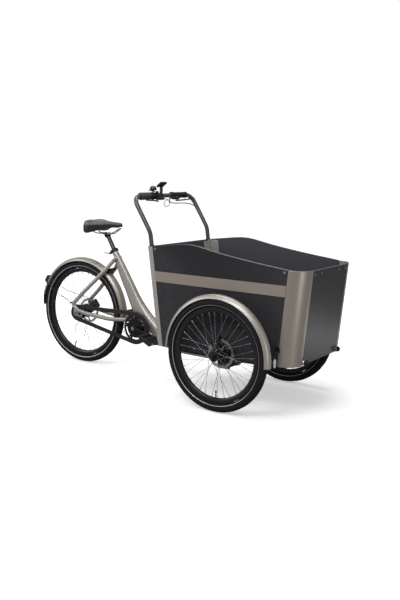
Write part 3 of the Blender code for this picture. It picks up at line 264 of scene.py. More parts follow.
GLOSSP = base_material("gloss_black_plastic", srgb(18, 18, 21), rough=0.14, spec=0.6, coat=0.6, coat_rough=0.04, tone=0.12, tone_scale=20, rough_var=0.04, bump=0.03, bump_scale=500, bump_dist=0.0002)
STEEL = base_material("brushed_steel", srgb(178, 178, 180), rough=0.30, metal=1.0, tone=0.08, tone_scale=30, rough_var=0.10, rough_scale=90, bump=0.14, bump_scale=260, stretch=(1, 0.08, 1), bump_dist=0.0002)
SPOKE = base_material("stainless_spoke", srgb(150, 151, 154), rough=0.26, metal=0.95, tone=0.08, tone_scale=40, bump=0.05, bump_scale=900, bump_dist=0.0002)
CHROME = base_material("chrome", srgb(205, 205, 208), rough=0.10, metal=1.0, tone=0.04, tone_scale=30, rough_var=0.05, bump=0.03, bump_scale=300, bump_dist=0.0001)
CHAINM = base_material("chain_steel", srgb(58, 56, 56), rough=0.42, metal=0.9, tone=0.25, tone_scale=80, bump=0.2, bump_scale=500, bump_dist=0.0003)
BARM = base_material("bar_dark_grey", srgb(90, 91, 95), rough=0.30, metal=0.55, coat=0.35, coat_rough=0.12, tone=0.06, tone_scale=8, bump=0.08, bump_scale=1100, bump_dist=0.0002, wear=0.3, wear_rgb=srgb(140, 140, 142))
GRIP = base_material("grip_rubber", srgb(74, 74, 79), rough=0.70, spec=0.3, tone=0.10, tone_scale=30, bump=0.4, bump_scale=1200, bump_dist=0.0004, kind="voronoi")
GRIPB = base_material("grip_black", srgb(34, 34, 37), rough=0.72, spec=0.3, tone=0.10, tone_scale=30, bump=0.4, bump_scale=1200, bump_dist=0.0004, kind="voronoi")
POSTG = base_material("seat_post_grey", srgb(84, 85, 90), rough=0.32, metal=0.8, tone=0.08, tone_scale=12, bump=0.10, bump_scale=420, bump_dist=0.0002, wear=0.4, wear_rgb=srgb(160, 160, 164))
# saddle top: the vinyl's dark grey lifted lighter, a painted highlight over the top panel
SADDLE_TOP_HIGHLIGHT_PAINTED = base_material("saddle_vinyl_painted_highlight", srgb(70, 71, 80), rough=0.40, spec=0.6, sheen=0.5, tone=0.12, tone_scale=25, rough_var=0.10, bump=0.25, bump_scale=520, bump_dist=0.0004, kind="voronoi")
SADDLEB = base_material("saddle_side", srgb(27, 27, 30), rough=0.42, spec=0.45, tone=0.10, tone_scale=25, bump=0.2, bump_scale=800, bump_dist=0.0004)
REDL = base_material("red_lens", srgb(120, 14, 16), rough=0.12, spec=0.6, coat=0.8, coat_rough=0.03, tone=0.12, tone_scale=60, bump=0.5, bump_scale=420, bump_dist=0.0006, kind="voronoi")
WHITEL = base_material("white_reflector", srgb(220, 222, 226), rough=0.12, spec=0.7, coat=0.8, tone=0.06, tone_scale=60, bump=0.6, bump_scale=520, bump_dist=0.0006, kind="voronoi")
HOSE = base_material("hose_black", srgb(26, 26, 28), rough=0.5, spec=0.4, tone=0.1, tone_scale=40, bump=0.2, bump_scale=900, bump_dist=0.0003)
SCREEN = base_material("display_glass", srgb(24, 27, 30), rough=0.08, spec=0.7, coat=1.0, coat_rough=0.02, tone=0.15, tone_scale=40, rough_var=0.03)
SLATE = base_material("underside_black", srgb(26, 26, 29), rough=0.55, metal=0.3, tone=0.15, tone_scale=10, bump=0.25, bump_scale=500, bump_dist=0.0004, wear=0.4, wear_rgb=srgb(90, 90, 92))
FLOORP = base_material("box_floor_board", srgb(40, 39, 42), rough=0.6, spec=0.3, tone=0.14, tone_scale=10, bump=0.5, bump_scale=150, bump_dist=0.0008, kind="voronoi")

flr = bpy.data.meshes.new("floor")
bm = bmesh.new()
bmesh.ops.create_grid(bm, x_segments=1, y_segments=1, size=14)
bm.to_mesh(flr)
bm.free()
floor = bpy.data.objects.new("floor", flr)
floor.location = (0, 0, -0.0006)
scene.collection.objects.link(floor)
FLOORM = base_material("studio_floor", (0.98, 0.98, 0.98), rough=0.9, spec=0.0, tone=0.01, tone_scale=1.0)
flr.materials.append(FLOORM)
ft = FLOORM.node_tree
fb = ft.nodes["Principled BSDF"]
geo_f = ft.nodes.new("ShaderNodeNewGeometry")
far = ft.nodes.new("ShaderNodeVectorMath")
far.operation = "LENGTH"
ft.links.new(geo_f.outputs["Position"], far.inputs[0])
glow = ft.nodes.new("ShaderNodeMapRange")
glow.inputs["From Min"].default_value = 0.9
glow.inputs["From Max"].default_value = 3.6
glow.inputs["To Min"].default_value = 0.42
glow.inputs["To Max"].default_value = 0.80
ft.links.new(far.outputs["Value"], glow.inputs["Value"])
fb.inputs["Emission Color"].default_value = (1.0, 1.0, 1.0, 1)
ft.links.new(glow.outputs["Result"], fb.inputs["Emission Strength"])
dull = ft.nodes.new("ShaderNodeBsdfDiffuse")
dull.inputs["Color"].default_value = (0.34, 0.34, 0.35, 1)
seen_f = ft.nodes.new("ShaderNodeLightPath")
pick_f = ft.nodes.new("ShaderNodeMixShader")
ft.links.new(seen_f.outputs["Is Camera Ray"], pick_f.inputs[0])
ft.links.new(dull.outputs[0], pick_f.inputs[1])
ft.links.new(fb.outputs[0], pick_f.inputs[2])
ft.links.new(pick_f.outputs[0], next(n for n in ft.nodes if n.type == "OUTPUT_MATERIAL").inputs["Surface"])
floor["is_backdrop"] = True


# ================================================================ mesh helpers
def finish_mesh(name, bm, mats, body, replaces=(), angle=38, bevel=0.0, segs=2, recalc=True, subsurf=0):
    if recalc:
        bmesh.ops.recalc_face_normals(bm, faces=bm.faces[:])
    me = bpy.data.meshes.new(name)
    bm.to_mesh(me)
    bm.free()
    if angle is not None:
        me.shade_smooth()
        me.set_sharp_from_angle(angle=math.radians(angle))
    ob = bpy.data.objects.new(name, me)
    scene.collection.objects.link(ob)
    for m in (mats if isinstance(mats, (list, tuple)) else [mats]):
        me.materials.append(m)
    if bevel:
        b = ob.modifiers.new("edges", "BEVEL")
        b.width = bevel
        b.segments = segs
        b.limit_method = "ANGLE"
        b.angle_limit = math.radians(40)
        b.harden_normals = False
    if subsurf:
        s = ob.modifiers.new("subd", "SUBSURF")
        s.levels = s.render_levels = subsurf
    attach(ob, body)
    if replaces:
        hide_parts(*replaces)
    return ob


def revolve(bm, profile, centre, axis=(0, 1, 0), start=(1, 0, 0), segments=96, closed=True, mat=None, radius_fn=None):
    """Adds a solid of revolution. profile: (radius, along[, material]). Open profiles end on the axis."""
    c, ax, st = Vector(centre), Vector(axis).normalized(), Vector(start).normalized()
    third = ax.cross(st)
    rows = []
    poles = {}
    for i in range(segments):
        q = 2 * math.pi * i / segments
        o = st * math.cos(q) + third * math.sin(q)
        row = []
        for j, p in enumerate(profile):
            rad, al = p[0], p[1]
            if rad < 1e-7:
                if j not in poles:
                    poles[j] = bm.verts.new(c + ax * al)
                row.append(poles[j])
            else:
                if radius_fn:
                    rad = radius_fn(rad, al, q, j)
                row.append(bm.verts.new(c + o * rad + ax * al))
        rows.append(row)
    n = len(profile)
    last = n if closed else n - 1
    for i in range(segments):
        a, b = rows[i], rows[(i + 1) % segments]
        for j in range(last):
            k = (j + 1) % n
            vs = []
            for v in (a[j], a[k], b[k], b[j]):
                if v not in vs:
                    vs.append(v)
            if len(vs) >= 3:
                f = bm.faces.new(vs)
                f.material_index = profile[j][2] if len(profile[j]) > 2 else (mat or 0)
    return bm


def sweep(bm, path, radius, sides=16, caps=True, mat=0, closed=False, radii=None, twist0=None):
    """Adds a round tube along a path, carrying its frame along so that it doesn't twist."""
    path = [Vector(p) for p in path]
    n = len(path)
    tang = []
    for i in range(n):
        a = path[(i - 1) % n] if (closed or i > 0) else path[i]
        b = path[(i + 1) % n] if (closed or i < n - 1) else path[i]
        tang.append((b - a).normalized())
    nrm = Vector(twist0) if twist0 else tang[0].orthogonal().normalized()
    rows = []
    for i in range(n):
        nrm = (nrm - tang[i] * nrm.dot(tang[i])).normalized()
        bi = tang[i].cross(nrm)
        rr = radii[i] if radii else radius
        rows.append([bm.verts.new(path[i] + (nrm * math.cos(2 * math.pi * k / sides) + bi * math.sin(2 * math.pi * k / sides)) * rr) for k in range(sides)])
    for i in range(n if closed else n - 1):
        a, b = rows[i], rows[(i + 1) % n]
        for k in range(sides):
            f = bm.faces.new((a[k], a[(k + 1) % sides], b[(k + 1) % sides], b[k]))
            f.material_index = mat
    if caps and not closed:
        f = bm.faces.new(rows[0][::-1])
        f.material_index = mat
        f = bm.faces.new(rows[-1])
        f.material_index = mat
    return rows


def skin(bm, rings, caps=True, mat=0, closed_ring=True):
    rows = [[bm.verts.new(p) for p in ring] for ring in rings]
    m = len(rows[0])
    for a, b in zip(rows, rows[1:]):
        for i in range(m if closed_ring else m - 1):
            f = bm.faces.new((a[i], a[(i + 1) % m], b[(i + 1) % m], b[i]))
            f.material_index = mat
    if caps:
        f = bm.faces.new(rows[0][::-1])
        f.material_index = mat
        f = bm.faces.new(rows[-1])
        f.material_index = mat
    return rows


def brick(bm, lo, hi, matrix=None, mat=0):
    lo, hi = Vector(lo), Vector(hi)
    m = Matrix.Translation((lo + hi) / 2) @ Matrix.Diagonal((*(hi - lo), 1.0))
    r = bmesh.ops.create_cube(bm, size=1.0, matrix=(matrix @ m) if matrix else m)
    for f in {f for v in r["verts"] for f in v.link_faces}:
        f.material_index = mat
    return r["verts"]


def cyl(bm, a, b, r1, r2=None, sides=20, mat=0):
    a, b = Vector(a), Vector(b)
    dd = b - a
    m = Matrix.Translation((a + b) / 2) @ dd.to_track_quat("Z", "Y").to_matrix().to_4x4()
    r = bmesh.ops.create_cone(bm, cap_ends=True, cap_tris=False, segments=sides, radius1=r1, radius2=r2 if r2 is not None else r1, depth=dd.length, matrix=m)
    for f in {f for v in r["verts"] for f in v.link_faces}:
        f.material_index = mat


def prism(bm, pts, vec, mat=0):
    """A flat outline pushed along a vector."""
    face = bm.faces.new([bm.verts.new(Vector(p)) for p in pts])
    face.material_index = mat
    out = bmesh.ops.extrude_face_region(bm, geom=[face])
    bmesh.ops.translate(bm, verts=[g for g in out["geom"] if isinstance(g, bmesh.types.BMVert)], vec=Vector(vec))
    for g in out["geom"]:
        if isinstance(g, bmesh.types.BMFace):
            g.material_index = mat
            for e in g.edges:
                for f in e.link_faces:
                    f.material_index = mat


def filleted(points, radii, steps=10):
    points = [Vector(p) for p in points]
    out = [points[0]]
    for i in range(1, len(points) - 1):
        p, a, b = points[i], points[i - 1], points[i + 1]
        uu, vv = (a - p).normalized(), (b - p).normalized()
        half = uu.angle(vv) / 2
        rr = radii[i - 1]
        cut = rr / math.tan(half)
        centre = p + (uu + vv).normalized() * (rr / math.sin(half))
        s, e = p + uu * cut - centre, p + vv * cut - centre
        total = s.angle(e)
        ax = s.cross(e).normalized()
        for k in range(steps + 1):
            out.append(centre + Matrix.Rotation(total * k / steps, 3, ax) @ s)
    out.append(points[-1])
    return out


def spline(points, per=8):
    """Catmull-Rom through the points."""
    p = [Vector(x) for x in points]
    p = [p[0] * 2 - p[1]] + p + [p[-1] * 2 - p[-2]]
    out = []
    for i in range(1, len(p) - 2):
        for k in range(per):
            t = k / per
            a, b, c, dd = p[i - 1], p[i], p[i + 1], p[i + 2]
            out.append(0.5 * ((2 * b) + (-a + c) * t + (2 * a - 5 * b + 4 * c - dd) * t * t + (-a + 3 * b - 3 * c + dd) * t ** 3))
    out.append(p[-2])
    return out


def hexbolt(bm, at, direction, r=0.005, h=0.004, mat=0, washer=True):
    at, dr = Vector(at), Vector(direction).normalized()
    if washer:
        cyl(bm, at, at + dr * 0.0012, r * 1.45, sides=24, mat=mat)
    cyl(bm, at + dr * 0.0008, at + dr * (0.0012 + h), r, sides=6, mat=mat)


def dome_bolt(bm, at, direction, r=0.006, h=0.003, mat=0):
    prof = [(0.0, 0.0), (r, 0.0), (r, h * 0.25), (r * 0.85, h * 0.65), (r * 0.5, h * 0.92), (r * 0.34, h), (r * 0.30, h * 0.55), (0.0, h * 0.55)]
    dr = Vector(direction).normalized()
    revolve(bm, prof, at, axis=dr, start=dr.orthogonal(), segments=18, closed=False, mat=mat)


# ================================================================ wheels
FRONT_R, FRONT_BEAD, FRONT_RIM_IN = 0.3055, 0.2575, 0.229
REAR_R, REAR_BEAD, REAR_RIM_IN = 0.331, 0.2835, 0.2575
TRACK_HALF, WHEELBASE = 0.389, 1.279
TYRE_W = 0.0255
NSEG = 180


def make_tyre(name, c, R, bead, stripe_r, body, node):
    """Carcass turned smooth with sidewall ribs, a reflective band on each side, and tread cut as offset blocks."""
    w = TYRE_W
    h = R - bead
    side = []  # from the crown's edge down to the bead, (radius, half width, material)
    cr, cw = R - h * 0.50, w
    pts = 22
    for i in range(pts + 1):
        t = i / pts
        ang = math.radians(90 - 168 * t)  # 90 is the crown
        rad = cr + (h * 0.50) * math.sin(ang) if ang > 0 else cr + (cr - bead - 0.001) * math.sin(ang)
        half = cw * math.cos(ang) ** 0.82 if math.cos(ang) > 0 else 0
        side.append([rad, half])
    side = [p for p in side if p[1] > 0.0085]
    prof = []
    for rad, half in side:
        mat = 0
        prof.append([rad, half, mat])
    # the stripe band: extra rings either side of its edges
    out = []
    lo, hi = stripe_r - 0.0019, stripe_r + 0.0019

    def half_at(rad):
        for a, b in zip(prof, prof[1:]):
            if b[0] <= rad <= a[0]:
                t = (a[0] - rad) / (a[0] - b[0])
                return a[1] + (b[1] - a[1]) * t
        return prof[-1][1]

    for p in prof:
        if p[0] > hi + 0.0006:
            out.append(p)
    out += [[hi + 0.0004, half_at(hi + 0.0004), 0], [hi, half_at(hi) + 0.0003, 1], [stripe_r, half_at(stripe_r) + 0.00035, 1], [lo, half_at(lo) + 0.0003, 0], [lo - 0.0004, half_at(lo - 0.0004), 0]]
    low = [p for p in prof if p[0] < lo - 0.0008]
    out += low
    # moulding ribs near the bead
    rib = bead + 0.0085
    out = [q for q in out if not (rib - 0.0014 < q[0] < rib + 0.0014)]
    idx = next((i for i, q in enumerate(out) if q[0] < rib), len(out))
    out[idx:idx] = [[rib + 0.0012, half_at(rib + 0.0012), 0], [rib + 0.0005, half_at(rib) + 0.0007, 0], [rib - 0.0005, half_at(rib) + 0.0007, 0], [rib - 0.0012, half_at(rib - 0.0012), 0]]
    crown = [[R - 0.0004, 0.0060, 0], [R - 0.0022, 0.0056, 0], [R - 0.0022, 0.0044, 0], [R, 0.0040, 0], [R, 0.0009, 0], [R - 0.0020, 0.0005, 0]]
    right_half = crown[::-1] + [p for p in out if p[1] > 0.0064]
    bead_in = [[bead + 0.0008, 0.0112, 0]]
    ring = [[a, b, m] for a, b, m in right_half] + bead_in
    full = ring + [[a, -b, m] for a, b, m in ring[::-1]]
    # a face takes the material of its first ring, so on the mirrored side the stripe's marks move down one place
    n = len(ring)
    mats = [p[2] for p in full]
    mir = [0] * n
    for i in range(n):
        j = n - 1 - i  # ring index that this mirrored point came from
        mir[i] = ring[j - 1][2] if j >= 1 else 0
    for i in range(n):
        mats[n + i] = mir[i]
    full = [(p[0], p[1], mats[i]) for i, p in enumerate(full)]

    def tread(rad, al, q, j):
        depth = R - rad
        if depth > 0.012 or abs(al) < 0.0062:
            return rad
        k = (q * 72 / (2 * math.pi) + (0.5 if al > 0 else 0.0) + abs(al) * 38) % 1.0
        return rad - (0.0016 if k < 0.26 else 0.0)

    bm = bmesh.new()
    revolve(bm, full, c, segments=432 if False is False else 216, radius_fn=tread)
    return finish_mesh(name, bm, [RUBBER, STRIPE], body, [node], angle=40)


def make_rim(name, c, bead, inner, body, node):
    prof = [(bead - 0.0004, 0.0128), (bead - 0.0004, 0.0120), (bead - 0.0062, 0.0112), (bead - 0.0085, 0.0050), (bead - 0.0085, -0.0050), (bead - 0.0062, -0.0112),
            (bead - 0.0004, -0.0120), (bead - 0.0004, -0.0128), (bead - 0.0030, -0.0134), (bead - 0.0120, -0.0130), (inner + 0.0080, -0.0112), (inner + 0.0028, -0.0078),
            (inner + 0.0006, -0.0040), (inner + 0.0002, 0.0), (inner + 0.0006, 0.0040), (inner + 0.0028, 0.0078), (inner + 0.0080, 0.0112), (bead - 0.0120, 0.0130), (bead - 0.0030, 0.0134)]
    bm = bmesh.new()
    revolve(bm, prof, c, segments=NSEG)
    return finish_mesh(name, bm, RIM, body, [node], angle=30)


def make_spokes(name, nipname, c, rim_in, flange_r, flange_y, body, ofs=0.0, n=36):
    """Three-cross lacing: 36 round spokes with a bend at the flange and a nipple at the rim. Spokes pass each other by a wire's width."""
    bm, nb = bmesh.new(), bmesh.new()
    pitch = 2 * math.pi / n
    for s in (1, -1):
        for k in range(n // 4):
            for lead in (1, -1):
                rim_a = (4 * k + (0 if lead > 0 else 2) + (0 if s > 0 else 1)) * pitch + ofs
                hub_a = rim_a - lead * 5.6 * pitch
                y_hub = s * (flange_y + lead * 0.0020)
                a = c + Vector((math.cos(hub_a) * flange_r, y_hub, math.sin(hub_a) * flange_r))
                b = c + Vector((math.cos(rim_a) * (rim_in + 0.001), s * 0.0030, math.sin(rim_a) * (rim_in + 0.001)))
                dd = (b - a).normalized()
                elbow = a + Vector((0, -s * lead * 0.0022, 0))
                path = [elbow, a + dd * 0.0004, a + dd * 0.003] + [a + (b - a) * t for t in (0.3, 0.7, 1.0)]
                sweep(bm, path, 0.0010, sides=8)
                cyl(bm, elbow - Vector((0, 0, 0)), elbow + Vector((0, -s * lead * 0.0010, 0)), 0.0018, 0.0012, sides=10)
                cyl(nb, b - dd * 0.0130, b - dd * 0.0020, 0.0016, 0.0019, sides=8)
                cyl(nb, b - dd * 0.0030, b + dd * 0.0004, 0.0024, 0.0026, sides=10)
    sp = finish_mesh(name, bm, SPOKE, body, angle=50)
    ni = finish_mesh(nipname, nb, STEEL, body, angle=50)
    return sp, ni


def make_hub(name, c, body, node, barrel, flange, fy, end, half, bore, rotor_side=0, holes=18):
    """Hub shell with dished flanges, spoke holes shown by small sunk rings, and end caps."""
    t = 0.0021
    prof = [(bore, -half), (end * 0.82, -half), (end, -half + 0.0014), (end, -fy - 0.0075), (barrel * 0.98, -fy - 0.0052), (barrel * 1.02, -fy - t - 0.0006), (flange - 0.0016, -fy - t), (flange, -fy - t * 0.4),
            (flange, -fy + t * 0.4), (flange - 0.0016, -fy + t), (barrel * 1.05, -fy + t + 0.0008), (barrel * 0.90, -fy + t + 0.0060), (barrel * 0.84, -fy * 0.4), (barrel * 0.84, fy * 0.4), (barrel * 0.90, fy - t - 0.0060),
            (barrel * 1.05, fy - t - 0.0008), (flange - 0.0016, fy - t), (flange, fy - t * 0.4), (flange, fy + t * 0.4), (flange - 0.0016, fy + t), (barrel * 1.02, fy + t + 0.0006), (barrel * 0.98, fy + 0.0052),
            (end, fy + 0.0075), (end, half - 0.0014), (end * 0.82, half), (bore, half)]
    bm = bmesh.new()
    revolve(bm, prof, c, segments=72)
    for k in range(holes):
        for s in (1, -1):
            q = 2 * math.pi * (k + 0.5 * (s > 0)) / holes
            at = c + Vector((math.cos(q) * (flange - 0.0048), s * (fy + t), math.sin(q) * (flange - 0.0048)))
            ring = [(0.0013, 0.0), (0.0021, 0.0), (0.0021, 0.0005), (0.0013, 0.0005)]
            revolve(bm, ring, at - Vector((0, 0, 0)), axis=(0, s, 0), start=(1, 0, 0), segments=10)
    return finish_mesh(name, bm, BLACK, body, [node], angle=35)


def make_rotor(name, carrier_name, c, y, body, node, bore):
    """A drilled disc: wavy outside, rows of holes, six swept arms to a carrier, and six bolts."""
    R, rin = 0.0798, 0.0640
    t = 0.0009
    bm = bmesh.new()
    seg = 144
    # wavy brake track with drilled holes: built as a grid whose hole cells are left out and walled
    rows_r = [0.0640, 0.0672, 0.0700, 0.0728, 0.0756, 0.0798]
    hole = {}
    for i in range(seg):
        ph = i % 8
        for j in range(5):
            hole[(i, j)] = (ph == 1 and j == 1) or (ph == 3 and j == 2) or (ph == 5 and j == 3) or (ph == 6 and j == 1) or (ph == 0 and j == 3)
    grid = {}
    for side in (0, 1):
        for i in range(seg):
            q = 2 * math.pi * i / seg
            for j, rr in enumerate(rows_r):
                r2 = rr + (0.0006 * math.cos(q * 12) if j == 5 else (0.0007 * math.cos(q * 12 + 1.2) if j == 0 else 0)) - (0.0006 if j == 5 else 0)
                grid[(side, i, j)] = bm.verts.new(c + Vector((math.cos(q) * r2, y + (t if side else -t), math.sin(q) * r2)))
    for i in range(seg):
        k = (i + 1) % seg
        for j in range(5):
            if hole[(i, j)]:
                cor = [(i, j), (k, j), (k, j + 1), (i, j + 1)]
                for a, b in zip(cor, cor[1:] + cor[:1]):
                    bm.faces.new((grid[(0, *a)], grid[(0, *b)], grid[(1, *b)], grid[(1, *a)]))
                continue
            bm.faces.new((grid[(0, i, j)], grid[(0, k, j)], grid[(0, k, j + 1)], grid[(0, i, j + 1)]))
            bm.faces.new((grid[(1, i, j)], grid[(1, i, j + 1)], grid[(1, k, j + 1)], grid[(1, k, j)]))
        bm.faces.new((grid[(0, i, 0)], grid[(1, i, 0)], grid[(1, k, 0)], grid[(0, k, 0)]))
        bm.faces.new((grid[(0, i, 5)], grid[(0, k, 5)], grid[(1, k, 5)], grid[(1, i, 5)]))
    ob = finish_mesh(name, bm, STEEL, body, [node], angle=30)
    cb = bmesh.new()
    for k in range(6):
        q0 = 2 * math.pi * k / 6
        pts = []
        for side in (1, -1):
            for m in range(7):
                f = m / 6 if side > 0 else 1 - m / 6
                rr = 0.0200 + (0.0652 - 0.0200) * f
                ang = q0 + 0.62 * f ** 1.2 + side * (0.0040 + 0.0016 * (1 - f)) / rr
                pts.append(c + Vector((math.cos(ang) * rr, y - t * 0.9, math.sin(ang) * rr)))
        prism(cb, pts, (0, t * 1.8, 0))
    ring = [(bore + 0.004, -t), (0.0250, -t), (0.0250, t), (bore + 0.004, t)]
    revolve(cb, ring, c + Vector((0, y, 0)), segments=64)
    s = -1 if y > 0 else 1
    for k in range(6):
        q = 2 * math.pi * (k + 0.5) / 6
        p = c + Vector((math.cos(q) * 0.0218, y - s * t, math.sin(q) * 0.0218))
        dome_bolt(cb, p, (0, -s, 0), r=0.0036, h=0.0022)
    ca = finish_mesh(carrier_name, cb, BLACK, body, angle=30)
    return ob, ca


def make_valve(name, c, rim_in, ang, body):
    bm = bmesh.new()
    o = Vector((math.cos(ang), 0, math.sin(ang)))
    revolve(bm, [(0.0, 0.0), (0.0036, 0.0), (0.0036, -0.0010), (0.0030, -0.0014), (0.0030, -0.022), (0.0026, -0.0225), (0.0026, -0.0260), (0.0040, -0.0262), (0.0040, -0.0370), (0.0034, -0.0385), (0.0, -0.0385)],
            c + o * (rim_in + 0.0012), axis=o, start=(0, 1, 0), segments=24, closed=False)
    return finish_mesh(name, bm, BLACKP, body, angle=40)


front_c = {}
for sd, s in (("right", -1), ("left", 1)):
    c = W(0, s * TRACK_HALF, FRONT_R)
    front_c[sd] = c
    body = f"front_{sd}_wheel"
    make_tyre(f"front_{sd}_tyre_tread", c, FRONT_R, FRONT_BEAD, 0.2677, body, f"front_{sd}_tyre")
    make_rim(f"front_{sd}_rim_hoop", c, FRONT_BEAD, FRONT_RIM_IN, body, f"front_{sd}_rim")
    make_hub(f"front_{sd}_hub_shell", c, body, f"front_{sd}_hub_and_spokes", 0.0175, 0.029, 0.029, 0.0143, 0.0438, 0.0087)
    make_spokes(f"front_{sd}_spokes", f"front_{sd}_nipples", c, FRONT_RIM_IN, 0.0245, 0.029, body, ofs=math.radians(4.0))
    make_rotor(f"front_{sd}_rotor_track", f"front_{sd}_rotor_carrier", c, -s * 0.0455, body, f"front_{sd}_brake_rotor", 0.0092)
    make_valve(f"front_{sd}_valve", c, FRONT_RIM_IN, math.radians(271), body)

RC = W(-WHEELBASE, 0, REAR_R)
make_tyre("rear_tyre_tread", RC, REAR_R, REAR_BEAD, 0.2988, "rear_wheel", "rear_tyre")
make_rim("rear_rim_hoop", RC, REAR_BEAD, REAR_RIM_IN, "rear_wheel", "rear_rim")
make_hub("rear_hub_shell", RC, "rear_wheel", "rear_hub_and_spokes", 0.034, 0.045, 0.030, 0.0298, 0.0448, 0.0060)
make_spokes("rear_spokes", "rear_nipples", RC, REAR_RIM_IN, 0.0405, 0.030, "rear_wheel", ofs=math.radians(2.0))
make_rotor("rear_rotor_track", "rear_rotor_carrier", RC, 0.0505, "rear_wheel", "rear_brake_rotor", 0.0070)
make_valve("rear_valve", RC, REAR_RIM_IN, math.radians(252), "rear_wheel")


# ================================================================ mudguards
def make_guard(name, c, radius, half_w, a0, a1, node, body, steps=72):
    """A rolled channel: crowned across, with a bead turned along each edge, over the arc."""
    t = 0.0019
    prof_o, prof_i = [], []
    npt = 18
    for i in range(npt + 1):
        v = -1 + 2 * i / npt
        drop = 0.022 * abs(v) ** 3.2
        prof_o.append((-drop, half_w * v * (1 - 0.03 * (1 - abs(v)))))
    for a, b in reversed(prof_o):
        v = b / half_w
        prof_i.append((a - t * max(0.15, 1 - abs(v) ** 4), b - math.copysign(t * abs(v) ** 6, v)))
    bm = bmesh.new()
    rings = []
    for k in range(steps + 1):
        q = math.radians(a0 + (a1 - a0) * k / steps)
        o = Vector((math.cos(q), 0, math.sin(q)))
        taper = 1.0
        rings.append([c + o * (radius + a) + Vector((0, b * taper, 0)) for a, b in prof_o + prof_i])
    skin(bm, rings)
    # rolled edge wires
    for s in (1, -1):
        path = []
        for k in range(steps + 1):
            q = math.radians(a0 + (a1 - a0) * k / steps)
            o = Vector((math.cos(q), 0, math.sin(q)))
            path.append(c + o * (radius - 0.0215) + Vector((0, s * (half_w - 0.0012), 0)))
        sweep(bm, path, 0.0014, sides=8)
    return finish_mesh(name, bm, FRAMEP, body, [node], angle=50)


make_guard("rear_guard_blade", RC, 0.3530, 0.0320, -2.0, 166.0, "rear_mudguard", "rear_frame")
for sd, s in (("right", -1), ("left", 1)):
    make_guard(f"front_{sd}_guard_blade", front_c[sd], 0.3245, 0.0285, -4.0, 180.0, f"front_mudguard_{sd}", "box_module")
    # bracket from the box to the guard, two bolts, and the small bolt seen on the guard's side
    bm = bmesh.new()
    for ang in (146, 12):
        q = math.radians(ang)
        o = Vector((math.cos(q), 0, math.sin(q)))
        top = front_c[sd] + o * 0.3215
        top.y = s * 0.386
        wall = Vector((top.x, s * 0.3035, top.z - 0.004))
        mid = Vector((top.x, s * 0.350, top.z + 0.001))
        sweep(bm, filleted([wall, mid, top], [0.03], 6), 0.0048, sides=14)
        cyl(bm, wall, wall + Vector((0, s * 0.003, 0)), 0.014, sides=28)
        for k in (-1, 1):
            dome_bolt(bm, wall + Vector((k * 0.009, s * 0.003, 0)), (0, s, 0), r=0.003, h=0.002)
    finish_mesh(f"front_{sd}_guard_brackets", bm, BLACK, "box_module", angle=40)
    bm = bmesh.new()
    q = math.radians(134)
    at = front_c[sd] + Vector((math.cos(q) * 0.3140, s * 0.0276, math.sin(q) * 0.3140))
    dome_bolt(bm, at, (0, s, 0), r=0.0042, h=0.0026)
    at = front_c[sd] + Vector((math.cos(math.radians(30)) * 0.3140, s * 0.0276, math.sin(math.radians(30)) * 0.3140))
    dome_bolt(bm, at, (0, s, 0), r=0.0042, h=0.0026)
    finish_mesh(f"front_{sd}_guard_bolts", bm, STEEL, "box_module", angle=40)

# rear guard: U wire stay, light, flap
bm = bmesh.new()
for s in (-1, 1):
    q = math.radians(152)
    far = RC + Vector((math.cos(q) * 0.3360, s * 0.0325, math.sin(q) * 0.3360))
    eye = W(-1.311, s * 0.0905, 0.395)
    pts = filleted([far, W(-1.470, s * 0.050, 0.440), eye + Vector((-0.02, -s * 0.002, 0.012)), eye], [0.2, 0.03], 6)
    sweep(bm, pts, 0.0021, sides=12)
    cyl(bm, eye - Vector((0, s * 0.0035, 0)), eye + Vector((0, s * 0.0018, 0)), 0.0062, sides=20)
    dome_bolt(bm, eye + Vector((0, s * 0.0018, 0)), (0, s, 0), r=0.0040, h=0.0028)
    cyl(bm, far - Vector((0, s * 0.004, 0)), far + Vector((0, s * 0.0015, 0)), 0.0052, sides=18)
finish_mesh("rear_guard_stay_wire", bm, BLACK, "rear_frame", angle=40)

# rear light: housing, lens with ribs
lq = math.radians(150)
lo = Vector((math.cos(lq), 0, math.sin(lq)))
lamp_at = RC + lo * 0.3625
tilt = Matrix.Translation(lamp_at) @ Matrix.Rotation(math.radians(30), 4, "Y")
bm = bmesh.new()
brick(bm, (-0.004, -0.0178, -0.0255), (0.0083, 0.0178, 0.0255), matrix=tilt)
housing = finish_mesh("rear_light_housing", bm, BLACKP, "rear_frame", ["rear_light"], bevel=0.0045, segs=4)
bm = bmesh.new()
brick(bm, (-0.0172, -0.0160, -0.0235), (-0.0030, 0.0160, 0.0235), matrix=tilt)
finish_mesh("rear_light_lens", bm, REDL, "rear_frame", bevel=0.0055, segs=5)
bm = bmesh.new()
for k in range(5):
    brick(bm, (-0.0179, -0.0120, -0.0165 + k * 0.0078), (-0.0165, 0.0120, -0.0140 + k * 0.0078), matrix=tilt)
finish_mesh("rear_light_lens_ribs", bm, REDL, "rear_frame", bevel=0.0006, segs=2)

